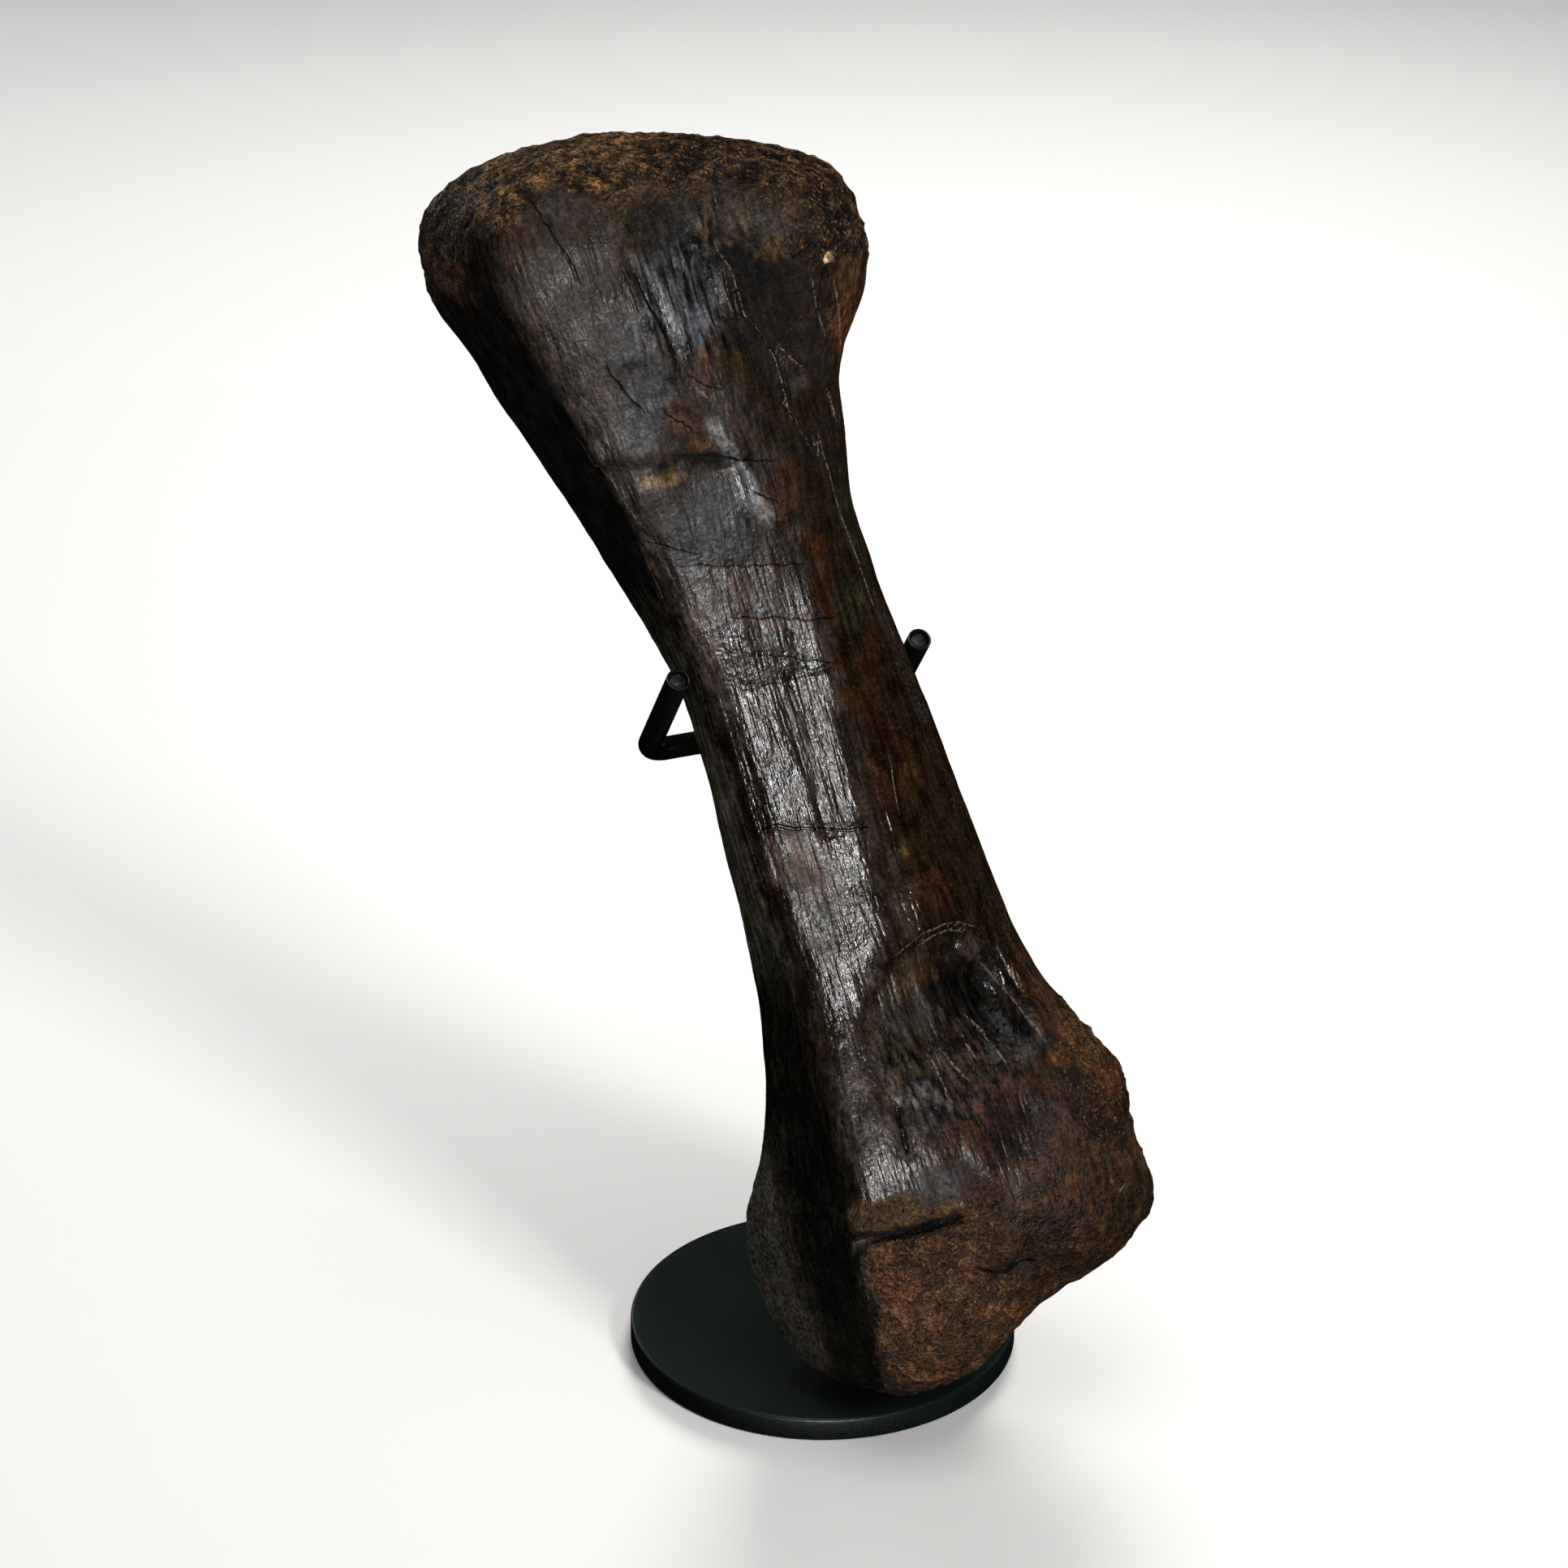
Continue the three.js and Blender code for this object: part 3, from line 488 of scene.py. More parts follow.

# Stains, with some painted light among them: shade in hollows, holes and the slot, sheen on a strip of the
# shaft, and highlight on the hollow's fibres.
STAINS_AND_PAINTED_LIGHT = [
    # colour, at, half sizes, turn, amount
    (EARTH * 0.55, (-28, 296), (11, 24), 16, 0.85),
    (CORTEX_GREY * 1.5, (-22, 268), (9, 18), 14, 0.6),
    (SLATE, (-14, 275), (6, 14), 8, 0.6),
    (RUST, (-33, 312), (6, 5), 0, 0.4),
    (ORANGE * 1.5, (-53, 308.5), (4, 6), 10, 0.85),
    (ORANGE * 0.8, (-50, 302), (3, 2.5), 0, 0.6),
    # Painted shade in the hollow under the head's crust.
    (BLACK, (-1, 306), (8, 6.5), 0, 0.75),
    # Blue-grey over the hollow's fibres: partly their own colour, partly painted highlight.
    (SLATE, (1, 289), (10, 13), 4, 1.0),
    (BLACK, (10, 300), (4, 9), 0, 0.8),
    (EARTH * 0.9, (19, 300), (13, 7), -16, 0.6),
    # Painted shade on the right side of the hollow.
    (BLACK, (18, 281), (8, 16), 12, 0.9),
    (UMBER, (28, 272), (10, 20), 8, 0.8),
    (BLACK, (9.5, 268), (3.5, 11), 24, 0.8),
    (UMBER, (24, 252), (8, 12), 0, 0.7),
    (CORTEX_GREY, (19.5, 260), (2.6, 5), 12, 0.5),
    (OCHRE, (37, 272), (5, 14), -18, 0.35),
    (ORANGE, (35, 268), (2.0, 9), -18, 0.5),
    (OCHRE, (24, 292), (4, 2.2), 0, 0.5),
    (BLACK, (41.6, 293.4), (2.6, 2.6), 0, 0.8),
    (ORANGE * 0.45, (0.5, 269), (4.5, 5), -12, 0.7),
    (HONEY * 0.45, (7, 268.5), (5.5, 4.5), -12, 0.85),
    (UMBER, (5, 262), (8, 3), -12, 0.6),
    (SALMON * 0.6, (-7.5, 258), (4.5, 6.5), 10, 0.85),
    (ORANGE, (-7, 253), (3.2, 1.8), -8, 0.6),
    (SLATE, (-19, 262), (4, 6), 10, 0.8),
    # Painted shadow under the step.
    (BLACK, (-7, 249.6), (9, 1.0), -14, 0.7),
    (OCHRE * 1.5, (-17.5, 247.0), (6, 1.6), -8, 0.9),
    (ORANGE, (-15.2, 251.9), (1.8, 0.9), 0, 0.7),
    # Painted shade in the hole below the step.
    (BLACK, (-5.8, 247.8), (4.8, 1.6), -14, 0.97),
    # Painted shade in the small hole beside it.
    (BLACK, (-15.7, 249.8), (1.3, 2.0), 0, 0.95),
    (UMBER, (5, 246), (5, 3), -20, 0.6),
    (SLATE, (-10, 232), (12, 10), 8, 0.7),
    # Painted sheen: a light grey strip along the left of the shaft's highlight.
    (CORTEX_GREY * 1.7, (-20, 202), (4.2, 17), 4, 0.75),
    (RUST * 0.8, (13, 212), (4.5, 12), -6, 0.9),
    (RUST * 0.8, (18, 184), (4.5, 11), -4, 0.95),
    (RUST, (9, 234), (5, 9), -10, 0.6),
    (UMBER * 0.6, (22, 200), (9, 60), 0, 0.85),
    (OLIVE, (16, 202), (4, 8), 0, 0.7),
    (OLIVE, (23, 222), (4, 12), 0, 0.6),
    (BLACK, (15, 165), (5, 10), 0, 0.45),
    (RED_BROWN, (14, 158), (6, 12), 0, 0.55),
    (OCHRE, (18, 155), (2.4, 5), 0, 0.55),
    (OCHRE, (14, 138), (3, 5), 0, 0.5),
    (UMBER * 0.5, (-21, 150), (5, 30), 0, 0.85),
    (UMBER * 0.6, (22, 140), (12, 30), 0, 0.8),
    (RED_BROWN, (14, 127), (5, 7), 0, 0.6),
    (SALMON, (-2, 204.5), (9, 2.0), -14, 0.5),
    (RUST, (-4, 217), (8, 3), -10, 0.4),
    (SALMON, (-14, 212), (9, 6), 0, 0.25),
    (RUST, (-16, 151), (5, 3), 0, 0.35),
    (SALMON * 0.8, (-14, 144), (8, 9), 0, 0.5),
    (UMBER, (4, 102), (9, 12), 0, 0.65),
    (HONEY * 0.5, (3, 109), (9, 5), 24, 0.9),
    (ORANGE * 0.45, (4, 108), (4, 2.0), 10, 0.5),
    (CORTEX_GREY, (-4.3, 111.8), (2.6, 1.8), 0, 0.8),
    (CORTEX_GREY * 0.6, (18, 110.5), (5, 3.5), -30, 0.6),
    (BLACK, (19.2, 95), (14.5, 7), -58, 0.97),
    (BLACK, (15.5, 111.7), (2.4, 1.8), 0, 0.9),
    (OLIVE, (-3, 92), (4.5, 10), 0, 0.6),
    (UMBER, (6, 84), (6, 9), 0, 0.6),
    (SLATE, (-2, 78), (5, 7), 0, 0.4),
    (CORTEX_GREY, (-17, 74), (7, 18), 0, 0.7),
    (UMBER * 0.8, (38, 72), (9, 22), 10, 0.8),
    (OCHRE, (39, 78), (5, 9), 20, 0.5),
    (ORANGE, (34, 76), (3.5, 2.2), -10, 0.8),
    (ORANGE, (43, 66), (2.5, 5), 20, 0.7),
    (ORANGE, (35, 51.5), (2.5, 2.5), 0, 0.6),
    (RUST, (33, 92), (6, 12), 25, 0.5),
    (ORANGE * 0.35, (2, 68), (8, 4.5), 10, 0.6),
    (RED_BROWN, (20, 56), (18, 22), 0, 0.7),
    (OCHRE, (28, 60), (3.5, 5), 0, 0.5),
    (OLIVE, (33, 52), (6, 7), 0, 0.5),
    (VIOLET, (19, 65), (12, 7), -6, 0.9),
    (BLACK, (16, 63), (5, 4), 0, 0.5),
    (VIOLET * 2.5, (30, 64), (6, 5), 0, 0.5),
    (RUST * 0.8, (24, 47.5), (11, 2.4), -4, 0.8),
    (RED_BROWN, (24, 40), (14, 8), 0, 0.5),
    (HONEY * 1.3, (-15, 55.8), (12.5, 4.6), -12, 0.95),
    (OCHRE, (-14, 53.6), (10, 2.2), -8, 0.7),
    (SLATE, (-4, 58.5), (7, 4.5), 0, 0.6),
    # Painted shadow in the slot under the ledge.
    (BLACK, (-12.5, 49.5), (11.5, 1.8), -4, 1.0),
    (OLIVE, (40, 32), (7, 8), 0, 0.6),
    (UMBER, (-8, 43), (11, 6), 8, 0.5),
    (UMBER * 0.7, (13, 36), (11, 12), 0, 0.6),
    (ORANGE, (-22, 34), (5, 4), 0, 0.4),
    (OCHRE, (-14, 16), (14, 4), 0, 0.5),
    (BLACK, (6, 31.5), (6, 1.8), -12, 0.8),
    (SPECK, (36.3, 286.3), (1.0, 1.0), 0, 1.0),
]

# Lines of colour, among them a painted highlight and a painted shade.
COLOUR_AND_LIGHT_LINES = [
    # colour, path, half width, amount, how broken up
    # Painted highlight along the narrow raised ridge below the step.
    (RIDGE_HIGHLIGHT, [(-1.9, 256.5), (0.6, 247), (2.0, 240), (2.4, 234), (3.6, 230)], 1.5, 0.9, 0.2),
    (CORTEX_GREY, [(18.6, 109.9), (21.6, 103.7), (23.8, 98.3), (27.4, 90.5), (30.5, 83)], 1.3, 0.7, 0.5),
    (ORANGE, [(12, 47.2), (19.6, 46.1), (29, 49.5)], 0.9, 0.6, 0.6),
    (UMBER * 0.5, [(-2.3, 111.8), (3.2, 116.4), (9.9, 119.2), (15.4, 119.4), (20.4, 118.2)], 1.3, 0.8, 0.2),
    # Painted shade along the edge of the left flank.
    (BLACK, [(-35, 262), (-30, 249), (-27.5, 238), (-26.5, 220)], 0.8, 0.5, 0.6),
    (OCHRE, [(-30, 252), (-27, 240), (-26, 225)], 0.9, 0.4, 0.9),
]


def mix(base, colour, amount):
    amount = np.clip(amount, 0, 1)[:, None]
    return base * (1 - amount) + colour * amount


def cortex_colours(points, front, maps, broad, middle):
    """The smooth bone: dark brown, redder on the right; on the left flank painted shade, olive and streaks
    of painted sheen.
    """
    u, _, w = points.T
    colours = np.tile(CORTEX, (len(points), 1))
    colours = mix(colours, UMBER, 0.5 * smoothstep(broad, -0.1, 0.5))
    colours = mix(colours, OLIVE, 0.5 * smoothstep(-middle, 0.05, 0.6))
    right_side = smoothstep(u + 3 * middle, 7, 13) * smoothstep(w, 60, 110)
    colours = mix(colours, UMBER, 0.85 * right_side)
    colours = mix(colours, RUST, 0.6 * right_side * smoothstep(middle, 0.05, 0.5))
    colours = mix(colours, colours * (0.6, 0.6, 0.42), right_side * front)
    flank = maps["flank"]
    strands = maps["strands"]
    # Painted shade over the left flank.
    colours = mix(colours, FLANK_SHADE, 0.92 * flank)
    # Lighter patches on the low flank: painted rim light.
    colours = mix(colours, FLANK_RIM_LIGHT, flank * smoothstep(middle, 0.1, 0.6) * smoothstep(w, 110, 90))
    colours = mix(colours, OLIVE, 0.75 * flank * smoothstep(middle + strands, 0.1, 0.8))
    # Streaks of painted sheen along the shaft's flank.
    shaft_flank = flank * smoothstep(w, 105, 130) * (1 - smoothstep(w + 8 * middle, 190, 225))
    spread = 0.4 + 0.6 * smoothstep(strands + 0.6 * middle, -0.3, 0.6)
    colours = mix(colours, FLANK_SHEEN * 1.5, shaft_flank * spread)
    return mix(colours, RUST, 0.5 * flank * smoothstep(broad + middle, 0.3, 0.9))


def with_crust(colours, points, maps, broad, middle, fleck):
    """Lays the crust over the smooth bone: earth and ochre, gold in places, with painted highlight on its
    crests and painted shade in its pits.
    """
    u, _, w = points.T
    crust = maps["crust"]
    crest = maps["crest"]
    crust_tint = crust * (0.35 + 0.65 * smoothstep(middle, -0.4, 0.4))
    colours = mix(colours, EARTH, 0.9 * crust)
    gold = patch(points, *GOLD_ON_LEFT)
    gold += 0.7 * patch(points, *GOLD_IN_MIDDLE)
    gold += smoothstep(w, 100, 80) + 0.3
    colours = mix(colours, OCHRE, np.clip(gold, 0, 1) * crust_tint)
    low_crust = crust * smoothstep(w, 90, 60)
    darker_on_right = 1.3 - 0.85 * smoothstep(u, -8, 18)
    colours = mix(colours, KNUCKLE * darker_on_right[:, None], low_crust * 0.7)
    colours = mix(colours, UMBER, crust * smoothstep(-middle, -0.1, 0.6) * 0.6)
    colours = mix(colours, OLIVE, crust * smoothstep(broad, 0.1, 0.6) * 0.6)
    colours = mix(colours, ORANGE, crust * smoothstep(fleck, 0.1, 0.6) * 0.5)
    # Painted highlight on the crust's crests and painted shade in its pits, drawn from its fine relief.
    rough = crust * (1 - 0.5 * smoothstep(w, 90, 60))
    colours = mix(colours, colours * 2.3, rough * smoothstep(crest, 0.0, 0.4))
    colours = mix(colours, BLACK, rough * smoothstep(-crest, -0.05, 0.6) * 0.8)
    rim = crust * smoothstep(u, 16, 28) * smoothstep(w, 104, 92) * smoothstep(w, 10, 24)
    colours = mix(colours, colours * (0.6, 0.5, 0.4), rim)
    # Painted shade in the pits of the rim.
    colours = mix(colours, BLACK, 0.7 * rim * smoothstep(-crest, -0.2, 0.4))
    head_right = crust * smoothstep(w, 250, 270) * smoothstep(u, -12, 10)
    return mix(colours, colours * 0.4, head_right), rim


def with_dark_left(colours, points, maps, broad, middle, fleck):
    """Paints the left of both ends: shade in green-black below, with a grey lobe painted lighter as rim
    light, and brown on the head.
    """
    u, _, w = points.T
    low_flank = maps["flank"] * smoothstep(w, 130, 70)
    lobe = low_flank * smoothstep(-u, 42, 50)
    # Painted shade on the low flank, and its lobe painted lighter as rim light.
    colours = mix(colours, LOW_FLANK_SHADE, low_flank * (1 - lobe) * 0.7)
    colours = mix(colours, FLANK_RIM_LIGHT * 1.35, lobe * (0.6 + 0.4 * fleck))
    head_left = smoothstep(-u, 40, 48) * smoothstep(w + 7 * middle + 6 * broad, 290, 304)
    return mix(colours, EARTH * 0.4, 0.8 * head_left)


def bone_colours(points, normals, maps):
    """The colour of each point: smooth bone, crust, painted shade and rim light on the left side, then
    stains and lines, among them painted shade, sheen and highlight.
    """
    front = smoothstep(-normals[:, 1], -0.05, 0.35)
    broad = lumps(points, 16, 20, 3)
    middle = lumps(points, 6, 21, 3)
    fleck = lumps(points, 2.2, 22, 2)
    colours = cortex_colours(points, front, maps, broad, middle)
    colours, rim = with_crust(colours, points, maps, broad, middle, fleck)
    colours = with_dark_left(colours, points, maps, broad, middle, fleck)

    for number, (colour, at, size, turn, amount) in enumerate(STAINS_AND_PAINTED_LIGHT):
        share = patch(points, at, size, turn, 0.45, 0.25, 4.5, 30 + number)
        colours = mix(colours, colour, amount * share * front)
    fibrous = front * smoothstep(maps["fibre"], 0.4, 0.9)
    colours = mix(colours, colours * 0.3, fibrous * smoothstep(-maps["strands"], 0.0, 0.5))
    colours = mix(colours, colours * 1.7, fibrous * smoothstep(maps["strands"], 0.1, 0.5))
    colours = mix(colours, ORANGE * 1.5, 0.8 * front * rim * smoothstep(fleck, 0.3, 0.7))
    broken = lumps(points, 2.6, 60, 2)
    for colour, path, width, amount, gaps in COLOUR_AND_LIGHT_LINES:
        away, _ = outline_distance(points, path)
        share = np.exp(-((away / width) ** 2)) * smoothstep(broken, -1.3 + gaps, -0.8 + gaps)
        colours = mix(colours, colour, amount * share * front)
    return colours


# ---- Materials ----

def new_material(name):
    material = bpy.data.materials.new(name)
    material.use_nodes = True
    tree = material.node_tree
    return material, tree, tree.nodes["Principled BSDF"]


def feed(tree, socket, value):
    """Puts a constant, a colour or another node's output on a socket."""
    if isinstance(value, (int, float)):
        socket.default_value = value
    elif isinstance(value, (tuple, np.ndarray)):
        socket.default_value = (*value, 1.0)
    else:
        tree.links.new(value, socket)


def math_node(tree, operation, first, second=0.0):
    node = tree.nodes.new("ShaderNodeMath")
    node.operation = operation
    feed(tree, node.inputs[0], first)
    feed(tree, node.inputs[1], second)
    return node.outputs[0]


def times(tree, first, second):
    return math_node(tree, "MULTIPLY", first, second)


def ramp(tree, value, low, high, start=0.0, end=1.0):
    node = tree.nodes.new("ShaderNodeMapRange")
    feed(tree, node.inputs["Value"], value)
    feed(tree, node.inputs["From Min"], low)
    feed(tree, node.inputs["From Max"], high)
    feed(tree, node.inputs["To Min"], start)
    feed(tree, node.inputs["To Max"], end)
    return node.outputs["Result"]


def attribute(tree, name, output="Fac"):
    node = tree.nodes.new("ShaderNodeAttribute")
    node.attribute_name = name
    return node.outputs[output]


def bump(tree, height, depth, strength, below=None):
    node = tree.nodes.new("ShaderNodeBump")
    feed(tree, node.inputs["Distance"], depth)
    feed(tree, node.inputs["Strength"], strength)
    feed(tree, node.inputs["Height"], height)
    if below is not None:
        feed(tree, node.inputs["Normal"], below)
    return node.outputs["Normal"]


def noise_node(tree, vector, scale, detail, roughness):
    node = tree.nodes.new("ShaderNodeTexNoise")
    feed(tree, node.inputs["Vector"], vector)
    feed(tree, node.inputs["Scale"], scale)
    feed(tree, node.inputs["Detail"], detail)
    feed(tree, node.inputs["Roughness"], roughness)
    return node.outputs["Fac"]


def mix_colour(tree, blend, amount, base, colour):
    node = tree.nodes.new("ShaderNodeMix")
    node.data_type = "RGBA"
    node.blend_type = blend
    for socket, value in ((0, amount), (6, base), (7, colour)):
        feed(tree, node.inputs[socket], value)
    return node.outputs[2]


def object_place(tree):
    return tree.nodes.new("ShaderNodeTexCoord").outputs["Object"]


# A light gold for the crust's bright grains: gold flecks, and painted glints standing in for sparkle.
FLECK_AND_GLINT_COLOUR = paint(168, 126, 78)
SCRATCH_AND_GLINT_COLOUR = paint(112, 104, 94)
PORE_COLOUR = paint(12, 9, 7)
CRACK_COLOUR = paint(5, 4, 3)
WARM_TINT = (1.12, 0.98, 0.88)
FOSSIL_SPECULAR = 0.26
FIBRE_STRETCH = 9

# Scale, detail and roughness of the noises drawn out along the bone, and of the even ones.
DRAWN_OUT = {"strands": (680, 2, 0.5), "wide_strands": (260, 2, 0.5), "hairs": (1900, 2, 0.5)}
EVEN = {"peel": (850, 2, 0.5), "grit": (520, 4, 0.65), "mottle": (190, 4, 0.6), "speckle": (1000, 3, 0.6),
        "grains": (1250, 2, 0.5), "clumps": (330, 3, 0.6), "warmth": (430, 3, 0.6)}


def fossil_noises(tree):
    place = object_place(tree)
    along = tree.nodes.new("ShaderNodeMapping")
    along.vector_type = "TEXTURE"
    along.inputs["Location"].default_value = BONE_ORIGIN
    along.inputs["Rotation"].default_value = BONE_TURN.to_euler()
    along.inputs["Scale"].default_value = (1, 1, FIBRE_STRETCH)
    tree.links.new(place, along.inputs["Vector"])
    noises = {name: noise_node(tree, along.outputs["Vector"], *kind) for name, kind in DRAWN_OUT.items()}
    noises |= {name: noise_node(tree, place, *kind) for name, kind in EVEN.items()}
    return noises


def drawn_line(tree, name, edge, full):
    """How much a point lies on a thin line that the attributes name_side and name_near hold."""
    line = math_node(tree, "ABSOLUTE", attribute(tree, f"{name}_side"))
    line = ramp(tree, line, 0.35, edge, full, 0.0)
    return times(tree, line, attribute(tree, f"{name}_near"))


def fossil_colour(tree, noises, crack, scratch_glint):
    """The painted colour, broken up by fibres on the smooth bone and by grains on the crust, with painted
    glints on the crust's grains and along the scratches.
    """
    strands, speckle, clumps = (noises[name] for name in ("strands", "speckle", "clumps"))
    crust = attribute(tree, "crust")
    streak = mix_colour(tree, "MIX", attribute(tree, "fibre"), ramp(tree, strands, 0.35, 0.65, 0.6, 1.4),
                        ramp(tree, strands, 0.4, 0.6, 0.15, 1.9))
    streak = times(tree, streak, ramp(tree, speckle, 0.38, 0.62, 0.62, 1.4))
    streak = times(tree, streak, ramp(tree, noises["hairs"], 0.4, 0.6, 0.8, 1.22))
    granular = times(tree, ramp(tree, speckle, 0.42, 0.58, 0.36, 1.5),
                     ramp(tree, clumps, 0.38, 0.62, 0.75, 1.3))
    coarse = times(tree, ramp(tree, speckle, 0.43, 0.57, 0.28, 1.95),
                   ramp(tree, clumps, 0.42, 0.58, 0.5, 1.6))
    granular = mix_colour(tree, "MIX", ramp(tree, crust, 0.86, 1.0), granular, coarse)
    texture = mix_colour(tree, "MIX", crust, streak, granular)

    colour = attribute(tree, "bone_colour", "Color")
    colour = mix_colour(tree, "MULTIPLY", 1.0, colour, ramp(tree, noises["mottle"], 0.3, 0.7, 0.5, 1.5))
    colour = mix_colour(tree, "MULTIPLY", 1.0, colour, texture)
    # Bright specks on the crust's grains: gold flecks, and painted glints standing in for sparkle.
    glint = times(tree, ramp(tree, noises["grains"], 0.575, 0.63, 0.0, 0.85),
                  ramp(tree, crust, 0.5, 1.0, 0.05, 1.0))
    glint = times(tree, glint, ramp(tree, clumps, 0.42, 0.6))
    colour = mix_colour(tree, "MIX", glint, colour, FLECK_AND_GLINT_COLOUR)
    # Bright lines: scratches, and painted glints along raised edges and fibres.
    colour = mix_colour(tree, "MIX", scratch_glint, colour, SCRATCH_AND_GLINT_COLOUR)
    colour = mix_colour(tree, "MULTIPLY", ramp(tree, noises["warmth"], 0.42, 0.6), colour, WARM_TINT)
    pores = ramp(tree, noises["peel"], 0.33, 0.42, 0.6, 0.0)
    colour = mix_colour(tree, "MIX", pores, colour, PORE_COLOUR)
    return mix_colour(tree, "MIX", crack, colour, CRACK_COLOUR)


def fossil_roughness(tree, noises):
    """Polished where the gloss is high, matt where it is low, with the odd bright grain on crust."""
    gloss = attribute(tree, "gloss")
    polish = ramp(tree, gloss, 0.0, 1.0, 0.34, 0.17)
    for source, *limits in ((gloss, -1.0, 0.0, 0.6, 0.0), (noises["mottle"], 0.3, 0.7, -0.04, 0.04),
                            (noises["grains"], 0.42, 0.58, 0.1, -0.05)):
        polish = math_node(tree, "ADD", polish, ramp(tree, source, *limits))
    dull = ramp(tree, noises["grains"], 0.46, 0.6, 0.9, 0.24)
    return mix_colour(tree, "MIX", attribute(tree, "crust"), polish, dull)


def fossil_normal(tree, noises, crack):
    """Fibres and fine peel on the smooth bone, lumps and grains on the crust, then the cracks."""
    crust = attribute(tree, "crust")
    fibre = ramp(tree, attribute(tree, "fibre"), 0.0, 1.0, 0.85, 1.0)
    layers = [
        # height, depth in metres, strength
        (noises["wide_strands"], 0.0006, 0.5),
        (noises["strands"], 0.0004, fibre),
        (noises["hairs"], 0.00007, 0.9),
        (noises["peel"], 0.0002, 0.8),
        (noises["clumps"], 0.0055, crust),
        (noises["grit"], 0.0025, crust),
        (noises["grains"], 0.0012, crust),
        (math_node(tree, "SUBTRACT", 1.0, crack), 0.0006, 0.8),
    ]
    normal = None
    for height, depth, strength in layers:
        normal = bump(tree, height, depth, strength, normal)
    return normal


def fossil_material():
    """Polished dark bone with fine fibres along it, and rough granular crust at its ends."""
    material, tree, shader = new_material("fossil")
    noises = fossil_noises(tree)
    crack = drawn_line(tree, "crack", 1.15, 1.0)
    scratch_glint = drawn_line(tree, "scratch_glint", 0.95, 0.9)
    # The scratch lines are broken up by the grains, so that they show as dotted painted glints.
    scratch_glint = times(tree, scratch_glint, ramp(tree, noises["grains"], 0.4, 0.58))
    feed(tree, shader.inputs["Base Color"], fossil_colour(tree, noises, crack, scratch_glint))
    feed(tree, shader.inputs["Roughness"], fossil_roughness(tree, noises))
    feed(tree, shader.inputs["Normal"], fossil_normal(tree, noises, crack))
    feed(tree, shader.inputs["Specular IOR Level"], FOSSIL_SPECULAR)
    return material


def paint_material(name, colour, roughness, grain_scale=1400):
    """Satin paint over steel, with the fine unevenness of a sprayed coat and a little dust."""
    material, tree, shader = new_material(name)
    place = object_place(tree)
    spray = noise_node(tree, place, grain_scale, 3, 0.6)
    cloud = noise_node(tree, place, 60, 4, 0.6)
    dust = ramp(tree, cloud, 0.45, 0.75, 0.0, 0.25)
    tint = mix_colour(tree, "MIX", dust, colour, colour * 1.8 + 0.004)
    gloss = ramp(tree, spray, 0.3, 0.7, roughness - 0.08, roughness + 0.1)
    feed(tree, shader.inputs["Base Color"], tint)
    feed(tree, shader.inputs["Roughness"], gloss)
    feed(tree, shader.inputs["Normal"], bump(tree, spray, 0.0002, 0.35))
    return material


def steel_material():
    """The bare sawn end of the rod, scored by the saw."""
    material, tree, shader = new_material("sawn_steel")
    scored = tree.nodes.new("ShaderNodeMapping")
    scored.inputs["Scale"].default_value = (1, 12, 1)
    tree.links.new(object_place(tree), scored.inputs["Vector"])
    score = noise_node(tree, scored.outputs["Vector"], 900, 3, 0.6)
    tint = mix_colour(tree, "MIX", ramp(tree, score, 0.35, 0.65), paint(40, 39, 36), paint(96, 92, 84))
    feed(tree, shader.inputs["Metallic"], 1.0)
    feed(tree, shader.inputs["Base Color"], tint)
    feed(tree, shader.inputs["Roughness"], ramp(tree, score, 0.3, 0.7, 0.22, 0.45))
    feed(tree, shader.inputs["Normal"], bump(tree, score, 0.0002, 0.6))
    return material


# ---- Bone ----

SHADER_MAPS = ("crust", "fibre", "gloss", "crack_side", "crack_near", "scratch_glint_side", "scratch_glint_near")


def make_bone():
    bone = node_copy("toe_bone")
    smooth = bone.modifiers.new("rounding", "SUBSURF")
    smooth.levels = 2
    bpy.ops.object.modifier_apply(modifier=smooth.name)
    mesh = bone.data

    count = len(mesh.vertices)
    places = np.empty(count * 3)
    mesh.vertices.foreach_get("co", places)
    facing = np.empty(count * 3)
    mesh.vertices.foreach_get("normal", facing)
    turn = np.array(BONE_TURN)
    points = (places.reshape(-1, 3) - np.array(BONE_ORIGIN)) @ turn / MM
    normals = facing.reshape(-1, 3) @ turn

    relief, maps = bone_relief(points, normals)
    moved = points + normals * relief[:, None]
    world = (moved * MM) @ turn.T + np.array(BONE_ORIGIN)
    low, high = (np.array(corner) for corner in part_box("toe_bone"))
    world = np.clip(world, low, high)
    mesh.vertices.foreach_set("co", world.reshape(-1))

    colours = np.ones((count, 4))
    colours[:, :3] = bone_colours(points, normals, maps)
    layer = mesh.attributes.new("bone_colour", "FLOAT_COLOR", "POINT")
    layer.data.foreach_set("color", colours.reshape(-1))
    for name in SHADER_MAPS:
        layer = mesh.attributes.new(name, "FLOAT", "POINT")
        layer.data.foreach_set("value", maps[name])
    mesh.shade_smooth()
    mesh.update()
    return finished(bone, "fossil_bone", [fossil_material()], ["toe_bone"])


make_bone()

# ---- Stand ----

